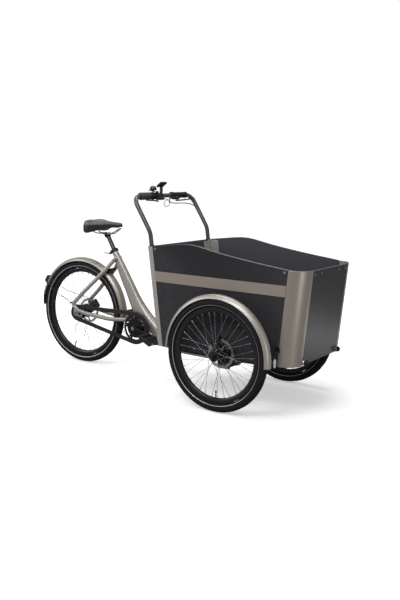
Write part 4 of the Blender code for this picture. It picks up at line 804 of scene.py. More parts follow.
# mud flap hung from the guard's tail
bm = bmesh.new()
pts = [RC + Vector((math.cos(math.radians(q)) * 0.3488, 0, math.sin(math.radians(q)) * 0.3488)) for q in (156, 160, 163, 166)]
pts += [RC + Vector((x, 0, z)) for x, z in ((-0.3402, 0.0680), (-0.3412, 0.0520), (-0.3417, 0.0360), (-0.3417, 0.0220), (-0.3417, 0.0100))]
rings = []
for i, p in enumerate(pts):
    hw = 0.0270 - 0.0040 * (i / 8) ** 2
    o = (p - RC).normalized()
    ring = []
    for k in range(9):
        v = -1 + k / 4
        ring.append(p + Vector((0, hw * v, 0)) - o * (0.003 * v * v))
    for k in range(8, -1, -1):
        v = -1 + k / 4
        ring.append(p + Vector((0, hw * v, 0)) - o * (0.003 * v * v + 0.0016))
    rings.append(ring)
skin(bm, rings)
for s in (-1, 1):
    dome_bolt(bm, pts[1] + Vector((0, s * 0.010, 0)) + lo * 0.0042, (pts[1] - RC).normalized(), r=0.0035, h=0.0014)
finish_mesh("rear_mud_flap", bm, HOSE, "rear_frame", angle=50)

# ================================================================ rear frame
SEAT_TOP = Vector((-1.022, 0.0, 0.748))
SEAT_DIR = Vector((-0.515, 0.0, 0.857)).normalized()
path = [(-1.022, 0.748, 0.0195, 0.0195), (-1.0134, 0.7337, 0.0195, 0.0195), (-1.000, 0.711, 0.0215, 0.0200), (-0.974, 0.664, 0.0275, 0.0210), (-0.945, 0.612, 0.0325, 0.0220),
        (-0.915, 0.560, 0.0360, 0.0230), (-0.884, 0.508, 0.0385, 0.0240), (-0.852, 0.452, 0.0430, 0.0260), (-0.820, 0.404, 0.0480, 0.0290),
        (-0.782, 0.361, 0.0490, 0.0320), (-0.734, 0.321, 0.0450, 0.0340), (-0.682, 0.286, 0.0410, 0.0350), (-0.627, 0.250, 0.0370, 0.0350),
        (-0.568, 0.219, 0.0320, 0.0350), (-0.502, 0.202, 0.0290, 0.0345), (-0.430, 0.198, 0.0280, 0.0335), (-0.300, 0.198, 0.0280, 0.0320), (-0.150, 0.198, 0.0280, 0.0310)]


def smooth_rows(rows, per=5):
    out = []
    p = [rows[0]] + list(rows) + [rows[-1]]
    for i in range(1, len(p) - 2):
        for k in range(per):
            t = k / per
            out.append(tuple(0.5 * ((2 * b) + (-a + c) * t + (2 * a - 5 * b + 4 * c - e) * t * t + (-a + 3 * b - 3 * c + e) * t ** 3) for a, b, c, e in zip(p[i - 1], p[i], p[i + 1], p[i + 2])))
    out.append(rows[-1])
    return out


rows = smooth_rows(path)
bm = bmesh.new()
rings = []
for i, (x, z, h, w) in enumerate(rows):
    a, b = rows[max(i - 1, 0)], rows[min(i + 1, len(rows) - 1)]
    t = Vector((b[0] - a[0], 0, b[1] - a[1])).normalized()
    if i < 4:
        t = -SEAT_DIR
    up = Vector((t.z, 0, -t.x))
    e = 1.0 if i < 5 else max(0.80, 1.0 - (i - 5) * 0.02)
    ring = []
    for k in range(48):
        q = 2 * math.pi * k / 48
        cq, sq = math.cos(q), math.sin(q)
        ring.append(W(x, 0, z) + up * (h * math.copysign(abs(cq) ** e, cq)) + Vector((0, w * math.copysign(abs(sq) ** e, sq), 0)))
    rings.append(ring)
skin(bm, rings)
main_tube = finish_mesh("main_tube", bm, FRAMEP, "rear_frame", ["main_frame"], angle=60)
# steering head, yoke, bosses and weld beads
bm = bmesh.new()
PX = -0.12
revolve(bm, [(0.0, 0.1600), (0.0315, 0.1600), (0.0340, 0.1625), (0.0340, 0.1700), (0.0325, 0.1715), (0.0325, 0.2240), (0.0340, 0.2255), (0.0340, 0.2330), (0.0318, 0.2357), (0.0, 0.2357)], W(PX, 0, 0), axis=(0, 0, 1), segments=64, closed=False)
revolve(bm, [(0.0, 0.230), (0.0120, 0.230), (0.0120, 0.2735), (0.0, 0.2735)], W(PX, 0, 0), axis=(0, 0, 1), segments=48, closed=False)
cyl(bm, W(-0.868, -0.046, 0.350), W(-0.868, 0.046, 0.350), 0.0238, sides=48)
cyl(bm, W(-0.868, -0.0445, 0.350), W(-0.868, 0.0445, 0.350), 0.0250, sides=48)
finish_mesh("frame_castings", bm, FRAMEP, "rear_frame", bevel=0.0012, segs=3)


def bead(bm, pts, r=0.0022):
    """A weld bead: overlapping scales laid along a closed line."""
    n = len(pts)
    for i, p in enumerate(pts):
        t = (pts[(i + 1) % n] - pts[i - 1]).normalized()
        m = Matrix.Translation(p) @ t.to_track_quat("Z", "Y").to_matrix().to_4x4() @ Matrix.Diagonal((r, r, r * 0.72, 1))
        bmesh.ops.create_icosphere(bm, subdivisions=1, radius=1.0, matrix=m)


bm = bmesh.new()
stay_paths = {}
for sd, s in (("right", -1), ("left", 1)):
    stay_paths[sd] = filleted([W(-0.9890, s * 0.0200, 0.7093), W(-1.058, s * 0.048, 0.624), W(-1.213, s * 0.0745, 0.474), W(-1.306, s * 0.0765, 0.3835),
                               W(-1.262, s * 0.0765, 0.3500), W(-1.180, s * 0.0730, 0.3345), W(-1.02, s * 0.0520, 0.3190), W(-0.8740, s * 0.0380, 0.3310)],
                              [0.10, 0.12, 0.016, 0.05, 0.12, 0.20], 12)
    p0, t0 = stay_paths[sd][0], (stay_paths[sd][1] - stay_paths[sd][0]).normalized()
    o1 = t0.orthogonal().normalized()
    o2 = t0.cross(o1)
    bead(bm, [p0 + t0 * 0.028 + (o1 * math.cos(2 * math.pi * k / 26) + o2 * math.sin(2 * math.pi * k / 26)) * 0.0125 for k in range(26)])
    p1, t1 = stay_paths[sd][-1], (stay_paths[sd][-2] - stay_paths[sd][-1]).normalized()
    o1 = t1.orthogonal().normalized()
    o2 = t1.cross(o1)
    bead(bm, [p1 + t1 * 0.017 + (o1 * math.cos(2 * math.pi * k / 26) + o2 * math.sin(2 * math.pi * k / 26)) * 0.0108 for k in range(26)])
finish_mesh("frame_weld_beads", bm, FRAMEP, "rear_frame", angle=60)

for sd, s in (("right", -1), ("left", 1)):
    bm = bmesh.new()
    rings = []
    sp_ = stay_paths[sd]
    for i, p in enumerate(sp_):
        t = (sp_[min(i + 1, len(sp_) - 1)] - sp_[max(i - 1, 0)]).normalized()
        across = t.cross(Vector((0, 1, 0))).normalized()
        third = across.cross(t)
        rings.append([p + across * (0.0131 * math.cos(2 * math.pi * k / 32)) + third * (0.0104 * math.sin(2 * math.pi * k / 32)) for k in range(32)])
    skin(bm, rings)
    # dropout plate
    y0, y1 = s * 0.0702, s * 0.0768
    pts = [W(-1.279 + 0.019 * math.cos(q), y0, REAR_R + 0.019 * math.sin(q)) for q in [math.pi * (1.05 + 0.9 * k / 24) for k in range(25)]]
    pts += [W(-1.258, y0, 0.350), W(-1.291, y0, 0.374), W(-1.299, y0, 0.350)]
    prism(bm, pts, (0, y1 - y0, 0))
    # mudguard and rack eyelet
    cyl(bm, W(-1.311, s * 0.0745, 0.395), W(-1.311, s * 0.0862, 0.395), 0.0062, sides=24)
    finish_mesh(f"rear_stay_{sd}_tube", bm, FRAMEP, "rear_frame", bevel=0.0007, segs=2, angle=50)

# bridge block between the seat stays, the dark fitting the guard hangs from
bm = bmesh.new()
brick(bm, (-0.020, -0.0300, -0.0070), (0.020, 0.0300, 0.0070), matrix=Matrix.Translation(W(-1.0530, 0, 0.6180)) @ Matrix.Rotation(math.radians(-40), 4, "Y"))
finish_mesh("stay_bridge", bm, BLACK, "rear_frame", bevel=0.003, segs=3)
bm = bmesh.new()
sweep(bm, [W(-1.0530, 0, 0.6180), W(-1.0700, 0, 0.6060), W(-1.083, 0, 0.6120)], 0.0045, sides=14)
hexbolt(bm, W(-1.0530, 0, 0.6250), (0.64, 0, 0.77), r=0.0042, h=0.0035)
finish_mesh("stay_bridge_link", bm, BLACK, "rear_frame", angle=40)

# rear axle, nuts, washers
bm = bmesh.new()
for s in (-1, 1):
    y = s * 0.0774
    cyl(bm, RC + Vector((0, y, 0)), RC + Vector((0, s * 0.0792, 0)), 0.0100, sides=36)
    cyl(bm, RC + Vector((0, s * 0.0790, 0)), RC + Vector((0, s * 0.0858, 0)), 0.0088, sides=6)
    cyl(bm, RC + Vector((0, s * 0.0855, 0)), RC + Vector((0, s * 0.0898, 0)), 0.0050, 0.0042, sides=24)
cyl(bm, RC + Vector((0, -0.0775, 0)), RC + Vector((0, 0.0775, 0)), 0.0050, sides=24)
finish_mesh("rear_axle_and_nuts", bm, STEEL, "rear_frame", ["rear_axle"], bevel=0.0005, segs=2)

# seat clamp and its lever
top = W(*SEAT_TOP)
bm = bmesh.new()
revolve(bm, [(0.0203, -0.0098), (0.0240, -0.0098), (0.0249, -0.0088), (0.0249, 0.0066), (0.0240, 0.0078), (0.0150, 0.0078), (0.0146, 0.0072), (0.0146, 0.0008), (0.0203, 0.0008)], top, axis=SEAT_DIR, start=(0, 1, 0), segments=64)
for s in (-1, 1):
    a = top + Vector((-0.0255, s * 0.0052, -0.0150))
    brick(bm, (-0.0085, -0.0024, -0.0070), (0.0060, 0.0024, 0.0070), matrix=Matrix.Translation(a) @ Matrix.Rotation(math.radians(-31), 4, "Y"))
finish_mesh("seat_clamp_ring", bm, BLACK, "rear_frame", ["seat_clamp"], bevel=0.0006, segs=2)
hinge = top + Vector((-0.0330, 0.0, -0.0200))
bm = bmesh.new()
cyl(bm, hinge + Vector((0, -0.0060, 0)), hinge + Vector((0, 0.0060, 0)), 0.0062, sides=32)
rings = []
for k in range(13):
    t = k / 12
    x = -0.0515 * t
    hw = 0.0046 - 0.0012 * math.sin(math.pi * t) + 0.0003 * t
    hz = 0.0034 - 0.0012 * t
    z = -0.0016 * math.sin(math.pi * t)
    rings.append([hinge + Vector((x, hw * math.cos(q), z + hz * math.sin(q))) for q in [2 * math.pi * j / 20 for j in range(20)]])
skin(bm, rings)
finish_mesh("seat_clamp_lever", bm, BLACK, "clamp_lever", ["clamp_lever"], angle=45)

# ================================================================ seat post, rails, saddle
POST_R = 0.0136
bm = bmesh.new()
revolve(bm, [(0.0, -0.1245), (0.0118, -0.1245), (POST_R - 0.0001, -0.1230), (POST_R - 0.0001, 0.0975), (0.0, 0.0975)], top, axis=SEAT_DIR, start=(0, 1, 0), segments=48, closed=False)
finish_mesh("seat_post_tube", bm, POSTG, "seat", ["seat_post"], angle=45)
clamp_c = top + SEAT_DIR * 0.098 + Vector((-0.006, 0, 0.010))
bm = bmesh.new()
cyl(bm, clamp_c + Vector((0, -0.0150, -0.002)), clamp_c + Vector((0, 0.0150, -0.002)), 0.0148, sides=40)
brick(bm, (-0.0190, -0.0250, 0.0035), (0.0190, 0.0250, 0.0078), matrix=Matrix.Translation(clamp_c))
brick(bm, (-0.0190, -0.0250, 0.0092), (0.0190, 0.0250, 0.0135), matrix=Matrix.Translation(clamp_c))
for k in (-1, 1):
    cyl(bm, clamp_c + Vector((k * 0.0148, 0, -0.016)), clamp_c + Vector((k * 0.0148, 0, 0.0165)), 0.0030, sides=18)
    cyl(bm, clamp_c + Vector((k * 0.0148, 0, 0.0132)), clamp_c + Vector((k * 0.0148, 0, 0.0172)), 0.0052, sides=6)
finish_mesh("seat_post_clamp", bm, BLACK, "seat", bevel=0.0012, segs=3)
SADDLE = clamp_c + Vector((-0.0220, 0, 0.0))
rail = filleted([SADDLE + Vector((0.125, 0.006, 0.046)), SADDLE + Vector((0.060, 0.0205, 0.0085)), SADDLE + Vector((-0.055, 0.0205, 0.0085)), SADDLE + Vector((-0.102, 0.031, 0.031))], [0.05, 0.05], 12)
mirror = [Vector((p.x, -p.y, p.z)) for p in rail]
bm = bmesh.new()
sweep(bm, mirror[::-1] + rail, 0.0036, sides=16)
finish_mesh("saddle_rail_wire", bm, STEEL, "seat", ["saddle_rails"], angle=50)


def saddle_section(x):
    """(half width, skirt bottom, crown height, dip along the middle) along the saddle, in metres from the clamp."""
    keys = [(-0.1300, 0.046, 0.050, 0.0770, 0.002), (-0.1180, 0.072, 0.026, 0.0860, 0.004), (-0.0850, 0.0865, 0.014, 0.0925, 0.006), (-0.0450, 0.0790, 0.021, 0.0915, 0.007),
            (-0.0050, 0.0540, 0.036, 0.0865, 0.007), (0.0450, 0.0345, 0.050, 0.0840, 0.006), (0.0950, 0.0240, 0.054, 0.0832, 0.004), (0.1250, 0.0185, 0.055, 0.0800, 0.002), (0.1350, 0.0100, 0.060, 0.0750, 0.0)]
    if x <= keys[0][0]:
        return keys[0][1:]
    for i in range(len(keys) - 1):
        if x <= keys[i + 1][0]:
            a, b = keys[i], keys[i + 1]
            p, n = keys[max(i - 1, 0)], keys[min(i + 2, len(keys) - 1)]
            t = (x - a[0]) / (b[0] - a[0])
            return tuple(0.5 * ((2 * a[j]) + (-p[j] + b[j]) * t + (2 * p[j] - 5 * a[j] + 4 * b[j] - n[j]) * t * t + (-p[j] + 3 * a[j] - 3 * b[j] + n[j]) * t ** 3) for j in range(1, 5))
    return keys[-1][1:]


bm = bmesh.new()
rings = []
NX, NR = 84, 72
for i in range(NX + 1):
    t = i / NX
    x = -0.1300 + 0.2655 * (0.5 - 0.5 * math.cos(math.pi * t))
    w, zb, zt, dip = saddle_section(x)
    end = min(1.0, math.sin(math.pi * min(1, max(0, t))) * 4.5) ** 0.5 if 0 < t < 1 else 0.0
    end = max(end, 0.10)
    w *= 0.35 + 0.65 * end
    ring = []
    for k in range(NR):
        v = k / NR
        if v < 0.70:  # over the top from one skirt edge to the other
            s = -1 + 2 * (v / 0.70)
            a = abs(s)
            y = w * math.copysign(min(1.0, math.sin(min(1, a * 1.06) * math.pi / 2) ** 0.92), s)
            drop = (zt - zb) * (max(0, a - 0.30) / 0.70) ** 2.6
            z = zt - drop - dip * math.exp(-(y / 0.014) ** 2) * (1 if -0.12 < x < 0.10 else 0.4) - 0.0035 * (a ** 2)
            # a sewn seam where the top panel meets the side
            if 0.66 < a < 0.71:
                z -= 0.0012
                y *= 0.990
        else:  # underside, tucked in
            s = 1 - 2 * ((v - 0.70) / 0.30)
            y = w * 0.90 * s
            z = zb + 0.006 + 0.010 * (1 - abs(s) ** 4)
        ring.append(SADDLE + Vector((x, y, z)))
    rings.append(ring)
rows_s = skin(bm, rings, mat=0)
# upper faces take the top colour, which carries a painted highlight; lower faces take the dark side colour
for f in bm.faces:
    c = f.calc_center_median() - SADDLE
    w, zb, zt, dip = saddle_section(min(0.135, max(-0.13, c.x)))
    if c.z < zb + (zt - zb) * 0.52:
        f.material_index = 1
pad = finish_mesh("saddle_pad", bm, [SADDLE_TOP_HIGHLIGHT_PAINTED, SADDLEB], "seat", ["saddle"], angle=70)
# piping along the seam between top and side, and the stitched line beside it
bm = bmesh.new()
for s in (-1, 1):
    pts = []
    for i in range(61):
        x = -0.108 + 0.212 * i / 60
        w, zb, zt, dip = saddle_section(x)
        a = 0.80
        y = s * w * min(1.0, math.sin(min(1, a * 1.06) * math.pi / 2) ** 0.92)
        z = zt - (zt - zb) * (max(0, a - 0.30) / 0.70) ** 2.6 - 0.0035 * a * a
        pts.append(SADDLE + Vector((x, y, z + 0.0004)))
    sweep(bm, pts, 0.0011, sides=8)
finish_mesh("saddle_piping", bm, SADDLEB, "seat", angle=50)
bm = bmesh.new()
for s in (-1, 1):
    for i in range(64):
        x = -0.100 + 0.196 * i / 63
        w, zb, zt, dip = saddle_section(x)
        a = 0.74
        y = s * w * min(1.0, math.sin(min(1, a * 1.06) * math.pi / 2) ** 0.92)
        z = zt - (zt - zb) * (max(0, a - 0.30) / 0.70) ** 2.6 - 0.0035 * a * a
        p = SADDLE + Vector((x, y, z + 0.0004))
        sweep(bm, [p - Vector((0.0011, 0, 0)), p + Vector((0.0011, 0, 0))], 0.00035, sides=5)
finish_mesh("saddle_stitching", bm, SPOKE, "seat", angle=60)
bm = bmesh.new()
rings = []
for i in range(25):
    x = -0.118 + 0.235 * i / 24
    w, zb, zt, dip = saddle_section(x)
    ww = w * 0.84
    rings.append([SADDLE + Vector((x, y, z)) for y, z in ((-ww, zb + 0.004), (0, zb + 0.013), (ww, zb + 0.004), (ww * 0.96, zb + 0.001), (0, zb + 0.010), (-ww * 0.96, zb + 0.001))])
skin(bm, rings)
finish_mesh("saddle_shell", bm, BLACKP, "seat", bevel=0.0006, segs=2)

# ================================================================ drive
BB = W(-0.806, 0, 0.291)
MOTOR_R = 0.058
bm = bmesh.new()
revolve(bm, [(0.0092, -0.0438), (0.0340, -0.0438), (0.0395, -0.0430), (0.0520, -0.0378), (0.0570, -0.0300), (MOTOR_R - 0.0002, -0.0270), (MOTOR_R - 0.0002, -0.0030), (0.0568, -0.0022), (0.0568, 0.0010), (MOTOR_R - 0.0002, 0.0018),
             (MOTOR_R - 0.0002, 0.0325), (0.0555, 0.0390), (0.0495, 0.0475), (0.0440, 0.0500), (0.0300, 0.0556), (0.0092, 0.0556)], BB, segments=96)
finish_mesh("motor_casing", bm, BLACKP, "rear_frame", ["motor_housing"], angle=28)
bm = bmesh.new()
for k in range(8):  # cover screws round the left face
    q = 2 * math.pi * k / 8 + 0.2
    at = BB + Vector((0.0455 * math.cos(q), 0.0490, 0.0455 * math.sin(q)))
    dome_bolt(bm, at - Vector((0, 0.0012, 0)), (0, 1, 0), r=0.0030, h=0.0026)
for k in range(6):
    q = 2 * math.pi * k / 6
    at = BB + Vector((0.0450 * math.cos(q), -0.0400, 0.0450 * math.sin(q)))
    dome_bolt(bm, at, (0, -1, 0), r=0.0030, h=0.0030)
finish_mesh("motor_cover_screws", bm, STEEL, "rear_frame", angle=40)
bm = bmesh.new()
revolve(bm, [(0.0480, -0.0372), (0.0545, -0.0344), (0.0552, -0.0352), (0.0484, -0.0386)], BB, segments=96)
finish_mesh("motor_rim_band", bm, STEEL, "rear_frame", angle=30)

CHAIN_Y = -0.0575
PITCH = 0.0127


def toothed(bm, n, y0, y1, bore, c, outer_add=0.0030, root_sub=0.0034, lighten=None, start=0.0):
    """A sprocket: rounded teeth, chamfered towards their tips, on a plain ring down to the bore."""
    pr = PITCH / (2 * math.sin(math.pi / n))
    outline = []
    for k in range(n):
        for j, (dr, dq) in enumerate(((-root_sub, -0.5), (-root_sub * 0.92, -0.36), (-root_sub * 0.35, -0.24), (outer_add * 0.45, -0.14), (outer_add, -0.07), (outer_add, 0.07), (outer_add * 0.45, 0.14), (-root_sub * 0.35, 0.24), (-root_sub * 0.92, 0.36))):
            q = start + 2 * math.pi * (k + dq) / n
            outline.append((pr + dr, q))
    inner = [(bore, q) for _, q in outline]
    m = len(outline)

    def ring(lst, y):
        return [bm.verts.new(c + Vector((r * math.cos(q), y, r * math.sin(q)))) for r, q in lst]
    mid = (y0 + y1) / 2
    a, b = ring(outline, y0), ring(outline, y1)
    if lighten is None:
        d, e = ring(inner, y0), ring(inner, y1)
        for i in range(m):
            j = (i + 1) % m
            bm.faces.new((a[i], a[j], b[j], b[i]))
            bm.faces.new((d[i], e[i], e[j], d[j]))
            bm.faces.new((a[i], d[i], d[j], a[j]))
            bm.faces.new((b[i], b[j], e[j], e[i]))
    return pr


# chainring: a toothed ring on a five-arm carrier
n1 = 44
bm = bmesh.new()
pr1 = toothed(bm, n1, CHAIN_Y - 0.0009, CHAIN_Y + 0.0009, 0.0710, BB, start=math.pi / n1)
revolve(bm, [(0.0722, CHAIN_Y - 0.0018), (0.0815, CHAIN_Y - 0.0018), (0.0815, CHAIN_Y + 0.0018), (0.0722, CHAIN_Y + 0.0018)], BB, segments=120)
finish_mesh("chainring_teeth", bm, CHAINM, "crankset", ["chainring"], bevel=0.0003, segs=1, angle=32)
bm = bmesh.new()
for k in range(5):
    q = 2 * math.pi * k / 5 + math.radians(-12 + 36)
    d = Vector((math.cos(q), 0, math.sin(q)))
    e = Vector((-math.sin(q), 0, math.cos(q)))
    prof = [(0.0500, 0.0150), (0.0620, 0.0130), (0.0680, 0.0120), (0.0740, 0.0140), (0.0770, 0.0120)]
    pts = [BB + d * r + e * w + Vector((0, CHAIN_Y - 0.0026, 0)) for r, w in prof] + [BB + d * r - e * w + Vector((0, CHAIN_Y - 0.0026, 0)) for r, w in prof[::-1]]
    prism(bm, pts, (0, 0.0034, 0))
revolve(bm, [(0.0200, CHAIN_Y - 0.0040), (0.0480, CHAIN_Y - 0.0036), (0.0560, CHAIN_Y - 0.0031), (0.0605, CHAIN_Y - 0.0024), (0.0612, CHAIN_Y - 0.0010), (0.0605, CHAIN_Y + 0.0006), (0.0200, CHAIN_Y + 0.0006)], BB, segments=96)
revolve(bm, [(0.0088, CHAIN_Y - 0.0060), (0.0215, CHAIN_Y - 0.0060), (0.0240, CHAIN_Y - 0.0030), (0.0240, CHAIN_Y + 0.0016), (0.0088, CHAIN_Y + 0.0016)], BB, segments=64)
finish_mesh("chainring_carrier", bm, BLACK, "crankset", bevel=0.0006, segs=2)
bm = bmesh.new()
for k in range(5):
    q = 2 * math.pi * k / 5 + math.radians(-12 + 36)
    at = BB + Vector((math.cos(q) * 0.0690, CHAIN_Y - 0.0024, math.sin(q) * 0.0690))
    cyl(bm, at, at + Vector((0, -0.0030, 0)), 0.0046, sides=24)
    cyl(bm, at + Vector((0, -0.0029, 0)), at + Vector((0, -0.0033, 0)), 0.0026, sides=6)
finish_mesh("chainring_bolts", bm, STEEL, "crankset", bevel=0.0003, segs=2)

n2 = 20
bm = bmesh.new()
pr2 = toothed(bm, n2, CHAIN_Y - 0.0009, CHAIN_Y + 0.0009, 0.0200, RC, start=math.pi / n2)
revolve(bm, [(0.0178, CHAIN_Y - 0.0020), (0.0290, CHAIN_Y - 0.0020), (0.0300, CHAIN_Y - 0.0012), (0.0300, CHAIN_Y + 0.0012), (0.0290, CHAIN_Y + 0.0040), (0.0178, CHAIN_Y + 0.0040)], RC, segments=72)
finish_mesh("rear_sprocket_teeth", bm, STEEL, "rear_sprocket", ["rear_sprocket"], bevel=0.0003, segs=1, angle=32)

# the chain: real links round both sprockets
r1, r2 = 44 * PITCH / (2 * math.pi), 20 * PITCH / (2 * math.pi)
dvec = RC - BB
dist = dvec.length
base = math.atan2(dvec.z, dvec.x)
open_a = math.acos((r1 - r2) / dist)
# tangent directions measured at each centre, from the line between centres
qa, qb = base - open_a, base + open_a


def on(c, r, q):
    return c + Vector((r * math.cos(q), CHAIN_Y, r * math.sin(q)))


loop = []
# round the chainring on its front side, from the tangent at qb to the tangent at qa (the long way)
steps = 160
start_q, end_q = qb, qa
sweep_q = (end_q - start_q) % (2 * math.pi)
for k in range(steps + 1):
    loop.append(on(BB, r1, start_q + sweep_q * k / steps))
sweep_r = (qb - qa) % (2 * math.pi)
for k in range(steps + 1):
    loop.append(on(RC, r2, qa + sweep_r * k / steps))
total = 0.0
acc = [0.0]
m = len(loop)
for i in range(m):
    total += (loop[(i + 1) % m] - loop[i]).length
    acc.append(total)
links = 2 * round(total / PITCH / 2)
step = total / links


def along(s):
    s %= total
    lo_i, hi_i = 0, m
    while hi_i - lo_i > 1:
        mid = (lo_i + hi_i) // 2
        if acc[mid] <= s:
            lo_i = mid
        else:
            hi_i = mid
    a, b = loop[lo_i], loop[(lo_i + 1) % m]
    leg = (b - a).length
    return a + (b - a) * ((s - acc[lo_i]) / leg if leg > 0 else 0)


pins = [along(step * k) for k in range(links)]
bm = bmesh.new()


def link_plate(bm, a, b, y0, y1, half=0.0040, waist=0.0027):
    d = (b - a)
    L = d.length
    d.normalize()
    u = Vector((-d.z, 0, d.x))
    pts = []
    for k in range(9):
        q = math.pi / 2 + math.pi * k / 8
        pts.append(a + d * (half * math.cos(q)) + u * (half * math.sin(q)))
    pts.append(a + d * (L / 2) - u * waist)
    for k in range(9):
        q = -math.pi / 2 + math.pi * k / 8
        pts.append(b + d * (half * math.cos(q)) + u * (half * math.sin(q)))
    pts.append(a + d * (L / 2) + u * waist)
    prism(bm, [p + Vector((0, y0, 0)) for p in pts], (0, y1 - y0, 0))


for k in range(links):
    a, b = pins[k], pins[(k + 1) % links]
    if k % 2:
        for y0, y1 in ((-0.0034, -0.0026), (0.0026, 0.0034)):
            link_plate(bm, a, b, y0, y1)
    else:
        for y0, y1 in ((-0.0025, -0.0017), (0.0017, 0.0025)):
            link_plate(bm, a, b, y0, y1)
    cyl(bm, a + Vector((0, -0.0041, 0)), a + Vector((0, 0.0041, 0)), 0.0017, sides=10)
    cyl(bm, a + Vector((0, -0.0016, 0)), a + Vector((0, 0.0016, 0)), 0.0037, sides=14)
chain = finish_mesh("chain_links", bm, CHAINM, "rear_frame", ["drive_chain"], angle=35)

# chain guard: the CAD band, with lips folded in towards the wheel round its outside and inside, and its screws
def guard_ring(off, ny):
    pts_g = []
    for k in range(91):
        q_ = start_q + sweep_q * k / 90
        pts_g.append(BB + Vector((math.cos(q_) * (r1 + off), ny, math.sin(q_) * (r1 + off))))
    for k in range(61):
        q_ = qa + sweep_r * k / 60
        pts_g.append(RC + Vector((math.cos(q_) * (r2 + off), ny, math.sin(q_) * (r2 + off))))
    return pts_g


for nm, off in (("outer", 0.0120), ("inner", -0.0125)):
    bm = bmesh.new()
    sgn = 1 if off > 0 else -1
    prof_g = [(off - sgn * 0.0030, -0.0657), (off - sgn * 0.0010, -0.0656), (off - sgn * 0.0002, -0.0648), (off - sgn * 0.0001, -0.0630), (off - sgn * 0.0001, -0.0560 if off > 0 else -0.0585), (off - sgn * 0.0014, -0.0560 if off > 0 else -0.0585), (off - sgn * 0.0016, -0.0626), (off - sgn * 0.0030, -0.0630)]
    loops_g = [guard_ring(o_, y_) for o_, y_ in prof_g]
    vs = [[bm.verts.new(v) for v in lp_] for lp_ in loops_g]
    n_g, m_g = len(vs), len(vs[0])
    for i in range(n_g):
        for j in range(m_g):
            bm.faces.new((vs[i][j], vs[i][(j + 1) % m_g], vs[(i + 1) % n_g][(j + 1) % m_g], vs[(i + 1) % n_g][j]))
    finish_mesh(f"chain_guard_lip_{nm}", bm, BLACKP, "rear_frame", angle=40)
bm = bmesh.new()
for q in (60, 200, 280, 340):
    at = BB + Vector((r1 * math.cos(math.radians(q)), -0.0650, r1 * math.sin(math.radians(q))))
    dome_bolt(bm, at, (0, -1, 0), r=0.0042, h=0.0022)
for q in (180, 130):
    at = RC + Vector((r2 * math.cos(math.radians(q)), -0.0650, r2 * math.sin(math.radians(q))))
    dome_bolt(bm, at, (0, -1, 0), r=0.0030, h=0.0010)
finish_mesh("chain_guard_screws", bm, BLACK, "rear_frame", angle=40)

